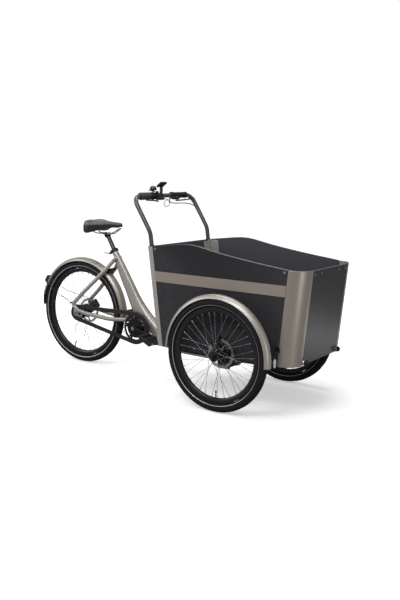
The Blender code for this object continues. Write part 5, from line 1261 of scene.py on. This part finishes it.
# cranks, forged and rounded
tilt_c = math.radians(-12)
CRANK_L = 0.170
for sd, s in (("right", -1), ("left", 1)):
    d = Vector((math.cos(tilt_c), 0, math.sin(tilt_c))) * (1 if s < 0 else -1)
    u = Vector((-d.z, 0, d.x))
    yc = s * 0.0795
    bm = bmesh.new()
    rings = []
    for k in range(29):
        t = k / 28
        r = -0.016 + (CRANK_L + 0.030) * t
        if r < 0:
            w = math.sqrt(max(0.0, 1 - (r / -0.0165) ** 2)) * 0.0158
        elif r > CRANK_L:
            w = math.sqrt(max(0.0, 1 - ((r - CRANK_L) / 0.0142) ** 2)) * 0.0128
        else:
            w = 0.0158 + (0.0092 - 0.0158) * min(1, r / 0.07) if r < 0.07 else 0.0092 + (0.0128 - 0.0092) * max(0, (r - 0.12) / 0.05)
        w = max(w, 0.0008)
        h = 0.0062 - 0.0006 * math.sin(math.pi * min(1, max(0, r / CRANK_L)))
        ring = []
        for j in range(24):
            q = 2 * math.pi * j / 24
            cq, sq = math.cos(q), math.sin(q)
            ring.append(BB + Vector((0, yc, 0)) + d * r + u * (w * math.copysign(abs(cq) ** 0.55, cq)) + Vector((0, h * math.copysign(abs(sq) ** 0.55, sq), 0)))
        rings.append(ring)
    skin(bm, rings)
    finish_mesh(f"crank_arm_{sd}", bm, BLACK, "crankset", [f"crank_{sd}"], angle=50)
    bm = bmesh.new()
    cyl(bm, BB + Vector((0, s * 0.0300, 0)), BB + Vector((0, s * 0.0735, 0)), 0.0084, sides=36)
    end = BB + Vector((0, s * 0.0850, 0))
    cyl(bm, end, end + Vector((0, s * 0.0012, 0)), 0.0105, sides=36)
    cyl(bm, end + Vector((0, s * 0.0006, 0)), end + Vector((0, s * 0.0019, 0)), 0.0052, sides=6)
    pin_at = BB + d * CRANK_L
    cyl(bm, pin_at + Vector((0, s * 0.0730, 0)), pin_at + Vector((0, s * 0.1838, 0)), 0.0054, 0.0046, sides=28)
    cyl(bm, pin_at + Vector((0, s * 0.0855, 0)), pin_at + Vector((0, s * 0.0872, 0)), 0.0085, sides=6)
    finish_mesh(f"crank_spindle_{sd}", bm, STEEL, "crankset", bevel=0.0004, segs=2)
    # pedal: cage with toothed plates, barrel, rubber treads, reflector strips, end cap
    c = pin_at + Vector((0, s * 0.1370, 0))
    tread = Matrix.Translation(c) @ Matrix.Rotation(math.radians(28), 4, "Y")
    bm = bmesh.new()
    cyl(bm, c + Vector((0, -s * 0.0480, 0)), c + Vector((0, s * 0.0482, 0)), 0.0105, sides=32)
    cyl(bm, c + Vector((0, s * 0.0470, 0)), c + Vector((0, s * 0.0488, 0)), 0.0122, sides=32)
    for yy in (-0.0445, 0.0445):
        brick(bm, (-0.0450, yy - 0.0040, -0.0105), (0.0450, yy + 0.0040, 0.0105), matrix=tread)
    for xx in (-0.0410, 0.0410):
        brick(bm, (xx - 0.0044, -0.0460, -0.0110), (xx + 0.0044, 0.0460, 0.0110), matrix=tread)
    brick(bm, (-0.0420, -0.0060, -0.0060), (0.0420, 0.0060, 0.0060), matrix=tread)
    for yy in (-0.0225, 0.0225):
        brick(bm, (-0.0420, yy - 0.0030, -0.0070), (0.0420, yy + 0.0030, 0.0070), matrix=tread)
    finish_mesh(f"pedal_{sd}_body", bm, BLACKP, f"pedal_{sd}", [f"pedal_{sd}"], bevel=0.0016, segs=3)
    bm = bmesh.new()
    for xx in (-0.0300, 0.0300):
        for zz in (-1, 1):
            for j in range(8):
                yy = -0.0385 + j * 0.0110
                brick(bm, (xx - 0.0075, yy - 0.0036, min(zz * 0.0060, zz * 0.0123)), (xx + 0.0075, yy + 0.0036, max(zz * 0.0060, zz * 0.0123)), matrix=tread)
        brick(bm, (xx - 0.0085, -0.0425, -0.0085), (xx + 0.0085, 0.0425, 0.0085), matrix=tread)
    finish_mesh(f"pedal_{sd}_treads", bm, GRIPB, f"pedal_{sd}", bevel=0.0010, segs=2)
    bm = bmesh.new()
    for xx in (-1, 1):
        brick(bm, (min(xx * 0.0445, xx * 0.0459), -0.0250, -0.0070), (max(xx * 0.0445, xx * 0.0459), 0.0250, 0.0070), matrix=tread)
    finish_mesh(f"pedal_{sd}_reflectors", bm, WHITEL, f"pedal_{sd}", bevel=0.0005, segs=2)

# ================================================================ brake calipers
def make_caliper(name, c, y0, y1, q_deg, r, body, node):
    """Gives a matrix at the rotor's edge for a caliper, with the caliper node's bounds; it builds no mesh."""
    q = math.radians(q_deg)
    at = c + Vector((math.cos(q) * r, 0, math.sin(q) * r))
    lo_c, hi_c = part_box(node)
    m = Matrix.Translation(at) @ Matrix.Rotation(-q, 4, "Y")
    return m, lo_c, hi_c


for node, c, body, sgn, q_deg in (("brake_caliper_right", front_c["right"], "box_module", -1, 118), ("brake_caliper_left", front_c["left"], "box_module", 1, 118), ("rear_brake_caliper", RC, "rear_frame", 1, 40)):
    ob = NODES[node]
    lo_c, hi_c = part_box(node)
    cc = (Vector(lo_c) + Vector(hi_c)) / 2
    q = math.radians(q_deg)
    radial = Vector((math.cos(q), 0, math.sin(q)))
    tang = Vector((-math.sin(q), 0, math.cos(q)))
    inner_y = hi_c[1] if sgn < 0 and node != "rear_brake_caliper" else lo_c[1]
    bm = bmesh.new()
    for k in (-1, 1):  # bridge bolts seen on the face away from the wheel
        p = Vector((c.x, 0, c.z)) + radial * (0.0795) + tang * (k * 0.016)
        face_y = hi_c[1] if (node == "brake_caliper_right") else lo_c[1]
        dirn = 1 if node == "brake_caliper_right" else -1
        p.y = face_y - dirn * 0.0010
        hexbolt(bm, p, (0, dirn, 0), r=0.0032, h=0.0022)
    finish_mesh(f"{node}_bolts", bm, STEEL, body, angle=40)

# ================================================================ box
BOX_BOTTOM, BOX_REAR_TOP, BOX_FRONT_TOP, BOX_HALF_W = 0.2755, 0.836, 0.778, 0.302


def rear_x(z):
    return -0.431 + (-0.512 + 0.431) * (z - BOX_BOTTOM) / (BOX_REAR_TOP - BOX_BOTTOM)


def front_x(z):
    return 0.409 + (0.453 - 0.409) * (z - BOX_BOTTOM) / (BOX_FRONT_TOP - BOX_BOTTOM)


def dress(node, mat, bevel=0.0, segs=2, smooth=None):
    """A carried-over CAD node: its material, and a soft edge where it has hard ones."""
    ob = NODES[node]
    if not ob.material_slots:
        ob.data.materials.append(mat)
    for s_ in ob.material_slots:
        s_.link = "OBJECT"
        s_.material = mat
    if bevel:
        b = ob.modifiers.new("edges", "BEVEL")
        b.width = bevel
        b.segments = segs
        b.limit_method = "ANGLE"
        b.angle_limit = math.radians(40)
    return ob


# smooth rounded front corners with a folded lip top and bottom
CR = 0.095
for sd, s in (("right", -1), ("left", 1)):
    bm = bmesh.new()
    rings = []
    zs = [BOX_BOTTOM, BOX_BOTTOM + 0.0015] + [BOX_BOTTOM + 0.004 + (BOX_FRONT_TOP - BOX_BOTTOM - 0.008) * k / 24 for k in range(25)] + [BOX_FRONT_TOP - 0.0015, BOX_FRONT_TOP]
    for i, z in enumerate(zs):
        inset = 0.0008 if i in (0, len(zs) - 1) else 0.0
        cx, cy = front_x(z) - CR, s * (BOX_HALF_W - CR)
        ring = []
        for k in range(33):
            q = math.pi / 2 * k / 32
            ring.append(W(cx + (CR - inset) * math.cos(q), cy + s * (CR - inset) * math.sin(q), z))
        for k in range(32, -1, -1):
            q = math.pi / 2 * k / 32
            ring.append(W(cx + (CR - 0.004 + inset) * math.cos(q), cy + s * (CR - 0.004 + inset) * math.sin(q), z))
        rings.append(ring)
    skin(bm, rings)
    finish_mesh(f"front_corner_{sd}_sheet", bm, PAINT, "box_module", [f"front_corner_{sd}"], angle=40)

# pale band along each side, in folded sheet
for sd, s in (("right", -1), ("left", 1)):
    bm = bmesh.new()
    y = s * (BOX_HALF_W + 0.0001)
    t = s * 0.0012
    zs = (0.6410, 0.6990)
    n = 30
    rings = []
    for k in range(n + 1):
        f = k / n
        ring = []
        for z, dy in ((zs[0], 0.0), (zs[0] + 0.0004, t), (zs[0] + 0.006, t), (zs[0] + 0.012, t), (zs[1] - 0.012, t), (zs[1] - 0.006, t), (zs[1] - 0.0004, t), (zs[1], 0.0)):
            x0 = rear_x(z) + 0.0154
            x1 = front_x(z) - CR - 0.0006
            ring.append(W(x0 + (x1 - x0) * f, y + dy, z))
        rings.append(ring)
    skin(bm, rings)
    finish_mesh(f"side_band_{sd}", bm, BAND, "box_module", angle=40)

# aluminium edging along the top of each side panel
crest = [(-0.4960, 0.8372), (-0.41, 0.8480), (-0.34, 0.8570), (-0.28, 0.8625), (-0.235, 0.8625), (-0.19, 0.8570), (-0.14, 0.8475), (-0.08, 0.8360), (0.0, 0.8230), (0.10, 0.8090), (0.20, 0.7960), (0.30, 0.7850), (0.3570, 0.7781)]
for sd, s in (("right", -1), ("left", 1)):
    bm = bmesh.new()
    rings = []
    for i in range(len(crest) - 1):
        (x0, z0), (x1, z1) = crest[i], crest[i + 1]
        for k in range(6 if i < len(crest) - 2 else 7):
            f = k / 6
            x, z = x0 + (x1 - x0) * f, z0 + (z1 - z0) * f
            a, b = s * (BOX_HALF_W + 0.0010), s * (BOX_HALF_W - 0.0130)
            rings.append([W(x, a, z - 0.0022), W(x, a, z + 0.0008), W(x, a - s * 0.0012, z + 0.0018), W(x, b + s * 0.0012, z + 0.0018), W(x, b, z + 0.0008), W(x, b, z - 0.0030),
                          W(x, b + s * 0.0008, z - 0.0030), W(x, b + s * 0.0008, z + 0.0002), W(x, a - s * 0.0008, z + 0.0002), W(x, a - s * 0.0008, z - 0.0022)])
    skin(bm, rings)
    finish_mesh(f"side_edging_{sd}", bm, EDGING, "box_module", angle=40)
bm = bmesh.new()
for z0, yh, xf, mtop in ((0.7742, 0.2060, lambda z: front_x(z) - 0.0110, 1), (0.8290, 0.2700, lambda z: rear_x(z) - 0.0065, 0)):
    depth = 0.0110 if mtop else 0.0130
    brick(bm, (0, -yh, -0.0046), (depth, yh, 0.0014), matrix=Matrix.Translation(W(xf(z0), 0, z0)))
edge_ends = finish_mesh("end_panel_edging", bm, EDGING, "box_module", bevel=0.0010, segs=2)

# snap studs for the rain cover, and panel screws
studs = bmesh.new()


def stud(at, n):
    n = Vector(n).normalized()
    cyl(studs, at - n * 0.0004, at + n * 0.0006, 0.0072, sides=28)
    cyl(studs, at + n * 0.0005, at + n * 0.0019, 0.0046, 0.0042, sides=24)


for s in (-1, 1):
    y = s * BOX_HALF_W
    for x, z in ((-0.478, 0.822), (0.337, 0.766)):
        stud(W(x, y, z), (0, s, 0))
for y in (-0.185, -0.104, 0.104, 0.185):
    stud(W(front_x(0.754) - 0.0001, y, 0.754), (0.996, 0, -0.087))
finish_mesh("cover_studs", studs, STEEL, "box_module", bevel=0.0003, segs=1)
bm = bmesh.new()
for s in (-1, 1):
    for x in (-0.390, -0.200, 0.0, 0.160, 0.290):
        dome_bolt(bm, W(x, s * BOX_HALF_W, 0.2920), (0, s, 0), r=0.0048, h=0.0020)
for y in (-0.180, -0.060, 0.060, 0.180):
    dome_bolt(bm, W(front_x(0.300) + 0.0004, y, 0.300), (0.996, 0, -0.087), r=0.0048, h=0.0020)
finish_mesh("panel_screws", bm, STEEL, "box_module", angle=40)

# buffers on the front sill
for sd, s in (("right", -1), ("left", 1)):
    at = W(front_x(0.2940) - 0.0002, s * 0.198, 0.2960)
    bm = bmesh.new()
    cyl(bm, at, at + Vector((0.0120, 0, 0)), 0.0165, 0.0155, sides=40)
    finish_mesh(f"buffer_collar_{sd}", bm, CHROME, "box_module", bevel=0.0014, segs=3)
    bm = bmesh.new()
    revolve(bm, [(0.0, 0.0100), (0.0138, 0.0100), (0.0142, 0.0150), (0.0132, 0.0210), (0.0090, 0.0250), (0.0, 0.0262)], at, axis=(1, 0, 0), start=(0, 1, 0), segments=40, closed=False)
    finish_mesh(f"buffer_tip_{sd}", bm, GRIPB, "box_module", angle=40)

# rubber-tipped stops that reach back from the feet of the rear posts
for sd, s in (("right", -1), ("left", 1)):
    at = W(rear_x(0.2830) - 0.0150, s * 0.286, 0.2830)
    bm = bmesh.new()
    cyl(bm, at + Vector((0.0010, 0, 0)), at + Vector((-0.0140, 0, 0)), 0.0060, sides=24)
    finish_mesh(f"post_stop_{sd}_stem", bm, STEEL, "box_module", angle=40)
    bm = bmesh.new()
    revolve(bm, [(0.0, 0.0060), (0.0084, 0.0060), (0.0092, 0.0080), (0.0092, 0.0240), (0.0116, 0.0270), (0.0122, 0.0330), (0.0108, 0.0385), (0.0060, 0.0412), (0.0, 0.0418)], at, axis=(-1, 0, 0), start=(0, 1, 0), segments=48, closed=False)
    finish_mesh(f"post_stop_{sd}", bm, GRIPB, "box_module", angle=40)

# white reflectors in front of the guards' feet, each upright on a black bracket
for sd, s in (("right", -1), ("left", 1)):
    at = W(0.3290, s * 0.3560, 0.3060)
    bm = bmesh.new()
    brick(bm, (-0.0045, -0.0118, -0.0250), (0.0002, 0.0118, 0.0250), matrix=Matrix.Translation(at))
    brick(bm, (-0.0045, -0.0060, 0.0200), (-0.0012, 0.0060, 0.0560), matrix=Matrix.Translation(at))
    brick(bm, (-0.0045, min(-s * 0.0545, s * 0.0060), 0.0460), (-0.0012, max(-s * 0.0545, s * 0.0060), 0.0560), matrix=Matrix.Translation(at))
    finish_mesh(f"side_reflector_{sd}_back", bm, BLACKP, "box_module", bevel=0.0010, segs=2)
    bm = bmesh.new()
    rings = []
    for k in range(5):
        f = (0.0, 0.0012, 0.0030, 0.0042, 0.0046)[k]
        g = (1.0, 1.0, 0.97, 0.88, 0.70)[k]
        rings.append([at + Vector((f, 0.0105 * g * math.cos(q_), 0.0235 * (1 - (1 - g) * 0.45) * math.copysign(abs(math.sin(q_)) ** 0.55, math.sin(q_)))) for q_ in [2 * math.pi * j / 40 for j in range(40)]])
    skin(bm, rings)
    finish_mesh(f"side_reflector_{sd}_lens", bm, WHITEL, "box_module", angle=40)

# pale plates inside the rear corners, against the side panel and the rear panel
for sd, s in (("right", -1), ("left", 1)):
    bm = bmesh.new()
    z0, z1 = 0.5600, 0.8345
    pts_c = [(rear_x(z0) + 0.0158, z0), (rear_x(z1) + 0.0158, z1), (rear_x(z1) + 0.0700, z1), (rear_x(z0) + 0.0700, z0)]
    prism(bm, [W(x, s * 0.2898, z) for x, z in pts_c], (0, -s * 0.0014, 0))
    rings = []
    for z in (z0, 0.8270):
        x = rear_x(z) + 0.0062
        ya, yb = sorted((s * 0.2700, s * 0.2300))
        rings.append([W(x, ya, z), W(x, yb, z), W(x + 0.0014, yb, z), W(x + 0.0014, ya, z)])
    skin(bm, rings)
    finish_mesh(f"rear_corner_plates_{sd}", bm, POSTM, "box_module", bevel=0.0004, segs=1, angle=40)

# battery case: handle recess, charge port, catch
lo_b, hi_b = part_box("battery_pack")
bm = bmesh.new()
brick(bm, (hi_b[0] - 0.0006, -0.0900, hi_b[2] - 0.0450), (hi_b[0] + 0.0030, 0.0900, hi_b[2] - 0.0380))
brick(bm, (hi_b[0] - 0.0006, -0.1500, lo_b[2] + 0.0120), (hi_b[0] + 0.0022, 0.1500, lo_b[2] + 0.0160))
brick(bm, ((lo_b[0] + hi_b[0]) / 2 - 0.012, -0.0550, hi_b[2] - 0.0006), ((lo_b[0] + hi_b[0]) / 2 + 0.012, 0.0550, hi_b[2] + 0.0040))
finish_mesh("battery_trim", bm, GLOSSP, "box_module", bevel=0.0012, segs=3)
bm = bmesh.new()
cyl(bm, Vector((hi_b[0] - 0.0005, 0.1280, hi_b[2] - 0.0300)), Vector((hi_b[0] + 0.0028, 0.1280, hi_b[2] - 0.0300)), 0.0090, sides=32)
finish_mesh("battery_charge_cap", bm, GRIPB, "box_module", bevel=0.0010, segs=2)

# ================================================================ handlebar
BAR_R, BAR_X, BAR_Z, BAR_HALF = 0.0125, -0.648, 1.104, 0.286
dpost = Vector((-0.081, 0, 0.5605)).normalized()


def bar_side(s):
    low = W(-0.512, s * BAR_HALF, BOX_REAR_TOP) - dpost * 0.115
    bend = W(-0.512, s * BAR_HALF, BOX_REAR_TOP) + dpost * 0.074
    return [low, bend, W(BAR_X, s * BAR_HALF, BAR_Z)]


rgt, lft = bar_side(-1), bar_side(1)
bar_path = filleted([rgt[0], rgt[1], rgt[2], lft[2], lft[1], lft[0]], [0.11, 0.058, 0.058, 0.11], 20)
bm = bmesh.new()
sweep(bm, bar_path, BAR_R - 0.0001, sides=36)
finish_mesh("handlebar_tube", bm, BARM, "box_module", ["handlebar"], angle=50)
# collars where the legs enter the posts
for sd, s in (("right", -1), ("left", 1)):
    at = W(-0.512, s * BAR_HALF, BOX_REAR_TOP)
    bm = bmesh.new()
    revolve(bm, [(BAR_R + 0.0003, 0.0002), (0.0142, 0.0002), (0.0142, 0.0036), (0.0136, 0.0050), (BAR_R + 0.0003, 0.0056)], at, axis=dpost, start=(0, 1, 0), segments=48)
    finish_mesh(f"leg_collar_{sd}", bm, GRIPB, "box_module", angle=40)


def on_bar(profile, y0, y1, name, mats, body, node=None, radius_fn=None, segments=72, mat=None):
    lo_y, hi_y = sorted((y0, y1))
    bm = bmesh.new()
    revolve(bm, [(BAR_R + 0.0004, lo_y)] + [(r, lo_y + (hi_y - lo_y) * t) for r, t in profile] + [(BAR_R + 0.0004, hi_y)], W(BAR_X, 0, BAR_Z), segments=segments, radius_fn=radius_fn)
    return finish_mesh(name, bm, mats, body, [node] if node else (), angle=40)


# right grip: a plain turned sleeve with fine ribs round it and a flange
prof = [(0.0196, 0.0), (0.0208, 0.01), (0.0214, 0.05), (0.0214, 0.14), (0.0209, 0.17)]
for k in range(14):
    prof += [(0.0209, 0.19 + k * 0.047), (0.0213, 0.205 + k * 0.047), (0.0213, 0.225 + k * 0.047), (0.0209, 0.235 + k * 0.047)]
prof += [(0.0209, 0.87), (0.0214, 0.90), (0.0214, 0.96), (0.0200, 0.995), (0.0196, 1.0)]
on_bar(prof, -0.2220, -0.1400, "grip_right_sleeve", GRIP, "box_module", "grip_right")
prof = [(0.0183, 0.0), (0.0186, 0.02), (0.0186, 0.05)]
for k in range(26):
    prof += [(0.0171, 0.065 + k * 0.0335), (0.0175, 0.070 + k * 0.0335), (0.0175, 0.083 + k * 0.0335), (0.0171, 0.088 + k * 0.0335)]
prof += [(0.0175, 0.94), (0.0188, 0.955), (0.0188, 0.99), (0.0182, 1.0)]
on_bar(prof, 0.0980, 0.2250, "grip_left_sleeve", GRIPB, "box_module", "grip_left")
prof = [(0.0180, 0.0), (0.0183, 0.04), (0.0196, 0.15), (0.0203, 0.30), (0.0214, 0.62), (0.0223, 0.74), (0.0223, 0.92), (0.0214, 0.99), (0.0208, 1.0)]
on_bar(prof, -0.1360, -0.0980, "shifter_sleeve", GRIPB, "twist_shifter", "twist_shifter",
       radius_fn=lambda r, a, q, j: r * (1 - (0.022 * (0.5 + 0.5 * math.cos(20 * q)) ** 2 if 3 <= j <= 8 else 0)), segments=160)
bm = bmesh.new()
revolve(bm, [(0.0216, -0.1330), (0.0228, -0.1330), (0.0228, -0.1318), (0.0216, -0.1318)], W(BAR_X, 0, BAR_Z), segments=72)
finish_mesh("shifter_ring", bm, SPOKE, "twist_shifter", angle=40)

for sd, s in (("right", -1), ("left", 1)):
    yc = s * 0.0850
    bm = bmesh.new()
    revolve(bm, [(BAR_R + 0.0004, yc - 0.0100), (0.0186, yc - 0.0100), (0.0199, yc - 0.0088), (0.0199, yc + 0.0088), (0.0186, yc + 0.0100), (BAR_R + 0.0004, yc + 0.0100)], W(BAR_X, 0, BAR_Z), segments=64)
    finish_mesh(f"lever_band_{sd}", bm, BLACK, "box_module", [f"lever_clamp_{sd}"], angle=40)
    bm = bmesh.new()
    y_lo, y_hi = sorted((yc + s * 0.0240, yc - s * 0.0420))
    # the master cylinder: a rounded body with a lid, on a neck from the band
    m = Matrix.Translation(W(BAR_X, 0, BAR_Z))
    rings = []
    for k in range(25):
        f = k / 24
        y = y_lo + (y_hi - y_lo) * f
        e = min(1.0, math.sqrt(max(0.0, 1 - (2 * f - 1) ** 8)) * 1.0)
        hw, hz = 0.0104 * (0.62 + 0.38 * e), 0.0079 * (0.62 + 0.38 * e)
        ring = []
        for j in range(24):
            q = 2 * math.pi * j / 24
            cq, sq = math.cos(q), math.sin(q)
            ring.append(W(BAR_X + 0.0333, y, BAR_Z - 0.0150) + Vector((hw * math.copysign(abs(cq) ** 0.6, cq), 0, hz * math.copysign(abs(sq) ** 0.6, sq))))
        rings.append(ring)
    skin(bm, rings)
    brick(bm, (0.0125, yc - 0.0082, -0.0212), (0.0280, yc + 0.0082, -0.0083), matrix=m)
    finish_mesh(f"lever_cylinder_{sd}", bm, BLACK, "box_module", bevel=0.0009, segs=2, angle=50)
    bm = bmesh.new()
    for k in (-1, 1):
        dome_bolt(bm, W(BAR_X + 0.0333 + k * 0.0, yc - s * 0.0090 + k * 0.0170, BAR_Z - 0.0073), (0, 0, 1), r=0.0028, h=0.0016)
    cyl(bm, W(BAR_X + 0.0310, s * 0.1010, BAR_Z - 0.0334), W(BAR_X + 0.0310, s * 0.1010, BAR_Z - 0.0236), 0.0038, sides=24)
    finish_mesh(f"lever_screws_{sd}", bm, STEEL, "box_module", angle=40)
    # blade: a tapering forged lever with a rounded end
    pivot = W(BAR_X + 0.0310, yc + s * 0.0160, BAR_Z - 0.0285)
    lp = spline([pivot + Vector((-0.006, -s * 0.014, 0)), pivot + Vector((0.003, s * 0.003, 0)), pivot + Vector((0.0125, s * 0.0190, 0.0008)), pivot + Vector((0.0235, s * 0.0390, 0.0030)),
                 pivot + Vector((0.0318, s * 0.0620, 0.0055)), pivot + Vector((0.0318, s * 0.0900, 0.0074)), pivot + Vector((0.0293, s * 0.1160, 0.0088)), pivot + Vector((0.0272, s * 0.1385, 0.0098))], 7)
    bm = bmesh.new()
    rings = []
    nn = len(lp)
    for i, p in enumerate(lp):
        t = (lp[min(i + 1, nn - 1)] - lp[max(i - 1, 0)]).normalized()
        across = t.cross(Vector((0, 0, 1))).normalized()
        up = across.cross(t)
        f = i / (nn - 1)
        end = math.sqrt(max(0.02, 1 - max(0.0, (f - 0.955) / 0.045) ** 2)) if f > 0.955 else (math.sqrt(max(0.05, 1 - ((0.035 - f) / 0.035) ** 2)) if f < 0.035 else 1.0)
        hw = (0.0062 - 0.0010 * math.sin(math.pi * f) + (0.0010 if f > 0.9 else 0)) * end
        hz = (0.0043 - 0.0008 * f) * end
        rings.append([p + across * (hw * math.copysign(abs(math.cos(q)) ** 0.75, math.cos(q))) + up * (hz * math.copysign(abs(math.sin(q)) ** 0.75, math.sin(q))) for q in [2 * math.pi * j / 20 for j in range(20)]])
    skin(bm, rings)
    finish_mesh(f"brake_blade_{sd}", bm, BLACK if s < 0 else BLACK, f"brake_lever_{sd}", [f"brake_lever_{sd}"], angle=50)

# bell: band, bracket, domed cap with a highlight ring, thumb lever
BELL = W(BAR_X + 0.004, -0.1060, 0.0)
bm = bmesh.new()
revolve(bm, [(BAR_R + 0.0004, -0.0710), (0.0170, -0.0710), (0.0179, -0.0703), (0.0179, -0.0617), (0.0170, -0.0610), (BAR_R + 0.0004, -0.0610)], W(BAR_X, 0, BAR_Z), segments=56)
brick(bm, (-0.0040, -0.0704, 0.0165), (0.0120, -0.0616, 0.0270), matrix=Matrix.Translation(W(BAR_X, 0, BAR_Z)))
brick(bm, (BELL.x - 0.0080, -0.1118, 1.1277), (BELL.x + 0.0080, -0.0617, 1.1308))
revolve(bm, [(0.0, 1.1280), (0.0042, 1.1280), (0.0042, 1.1375), (0.0, 1.1375)], BELL, axis=(0, 0, 1), segments=32, closed=False)
finish_mesh("bell_mount", bm, BLACKP, "box_module", ["bell"], bevel=0.0007, segs=2)
bm = bmesh.new()
dome_prof = [(0.0, 1.1374), (0.0170, 1.1374), (0.0170, 1.1366), (0.0203, 1.1372), (0.0205, 1.1385), (0.0205, 1.1450)]
for k in range(1, 15):
    a = math.pi / 2 * k / 14
    dome_prof.append((0.0205 * math.cos(a) if k < 14 else 0.0, 1.1450 + 0.0180 * math.sin(a)))
revolve(bm, dome_prof, BELL, axis=(0, 0, 1), segments=72, closed=False)
finish_mesh("bell_dome", bm, GLOSSP, "box_module", angle=45)
bm = bmesh.new()
revolve(bm, [(0.0046, 1.1319), (0.0089, 1.1319), (0.0089, 1.1363), (0.0046, 1.1363)], BELL, axis=(0, 0, 1), segments=40)
rings = []
for k in range(13):
    f = k / 12
    x = -0.0070 - 0.0268 * f
    hw = 0.0043 * (0.62 + 0.38 * f) * (1 if f < 0.9 else math.sqrt(max(0.05, 1 - ((f - 0.9) / 0.1) ** 2 * 0.8)))
    rings.append([BELL + Vector((x, hw * math.cos(q), 1.1341 + 0.0018 * math.sin(q))) for q in [2 * math.pi * j / 18 for j in range(18)]])
skin(bm, rings)
finish_mesh("bell_thumb_lever", bm, BLACKP, "bell_lever", ["bell_lever"], angle=45)

# display: band, stem, tilted housing with a bezel, glass and button
DISPLAY = W(BAR_X + 0.008, -0.0300, 1.1700)
tip = Matrix.Translation(DISPLAY) @ Matrix.Rotation(math.radians(-38), 4, "Y")
bm = bmesh.new()
revolve(bm, [(BAR_R + 0.0004, -0.0360), (0.0170, -0.0360), (0.0179, -0.0352), (0.0179, -0.0248), (0.0170, -0.0240), (BAR_R + 0.0004, -0.0240)], W(BAR_X, 0, BAR_Z), segments=56)
brick(bm, (-0.0018, -0.0348, 0.0155), (0.0138, -0.0252, 0.0620), matrix=Matrix.Translation(W(BAR_X, 0, BAR_Z)))
finish_mesh("display_mount", bm, BLACKP, "box_module", ["display"], bevel=0.0012, segs=3)
bm = bmesh.new()
brick(bm, (-0.0208, -0.0298, -0.0068), (0.0208, 0.0298, 0.0046), matrix=tip)
disp_case = finish_mesh("display_case", bm, BLACKP, "box_module", bevel=0.0034, segs=4)
bm = bmesh.new()
brick(bm, (-0.0070, -0.0262, 0.0040), (0.0186, 0.0262, 0.0053), matrix=tip)
finish_mesh("display_glass", bm, SCREEN, "box_module", bevel=0.0008, segs=2)
bm = bmesh.new()
face_n = (tip.to_3x3() @ Vector((0, 0, 1))).normalized()
seat_at = tip @ Vector((-0.0135, 0.0, 0.0070))
revolve(bm, [(0.0, -0.0009), (0.0048, -0.0009), (0.0050, -0.0006), (0.0050, 0.0007), (0.0046, 0.0013), (0.0030, 0.0011), (0.0, 0.0009)], seat_at, axis=face_n, start=(0, 1, 0), segments=40, closed=False)
finish_mesh("display_key", bm, GRIP, "display_button", ["display_button"], angle=40)
bm = bmesh.new()
revolve(bm, [(0.0053, -0.0028), (0.0068, -0.0028), (0.0068, 0.0002), (0.0060, 0.0006), (0.0053, 0.0002)], seat_at, axis=face_n, start=(0, 1, 0), segments=40)
finish_mesh("display_key_ring", bm, BLACKP, "box_module", angle=40)

# ================================================================ cords
def at_bar(x, y, z):
    return W(BAR_X + x, y, BAR_Z + z)


HOSE_ROUTE = [at_bar(0.0285, 0.0425, -0.0150), at_bar(0.0284, 0.0340, -0.0151), at_bar(0.0270, 0.0270, -0.0220), at_bar(0.0262, 0.0290, -0.0340), at_bar(0.0268, 0.0450, -0.0425),
              at_bar(0.0290, 0.0800, -0.0455), at_bar(0.0320, 0.1300, -0.0465), at_bar(0.0365, 0.1800, -0.0485), at_bar(0.0415, 0.2250, -0.0545), at_bar(0.0462, 0.2560, -0.0655),
              at_bar(0.0476, 0.2722, -0.0720)]
CABLE_ROUTE = [at_bar(0.0300, -0.0425, -0.0150), at_bar(0.0300, -0.0300, -0.0152), at_bar(0.0302, -0.0120, -0.0200), at_bar(0.0306, 0.0080, -0.0290), at_bar(0.0312, 0.0195, -0.0410),
               at_bar(0.0320, 0.0150, -0.0545), at_bar(0.0328, -0.0060, -0.0625), at_bar(0.0338, -0.0285, -0.0595), at_bar(0.0348, -0.0400, -0.0475), at_bar(0.0358, -0.0340, -0.0335),
               at_bar(0.0368, -0.0150, -0.0235), at_bar(0.0376, 0.0100, -0.0172), at_bar(0.0380, 0.0290, -0.0151), at_bar(0.0380, 0.0425, -0.0150)]
for name, node, route, dia, mat, stiff in (("brake_hose_tube", "brake_hose", HOSE_ROUTE, 0.0050, HOSE, "medium"), ("shift_cable_tube", "shift_cable", CABLE_ROUTE, 0.0036, SPOKE, "stiff")):
    line = spline(route, 14)
    bm = bmesh.new()
    sweep(bm, line, dia / 2, sides=20)
    piece = finish_mesh(name, bm, mat, "box_module", [node], angle=50)

# ================================================================ carried-over CAD nodes
for sd in ("right", "left"):
    dress(f"side_panel_{sd}", PANEL, 0.0008)
    dress(f"rear_post_{sd}", POSTM, 0.0016, 3)
dress("front_panel", FRONTP, 0.0006)
dress("rear_panel", PANEL, 0.0006)
dress("box_floor", FLOORP, 0.0006)
dress("battery_pack", BLACKP, 0.0060, 4)
dress("chassis_frame", SLATE, 0.0008)
dress("chain_guard", BLACKP, 0.0005)
for node in ("brake_caliper_right", "brake_caliper_left", "rear_brake_caliper"):
    dress(node, BLACK, 0.0012, 3)
for name, ob in NODES.items():
    if ob.hide_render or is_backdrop(ob):
        continue
    if not any(s_.material for s_ in ob.material_slots):
        print("no material yet:", name)
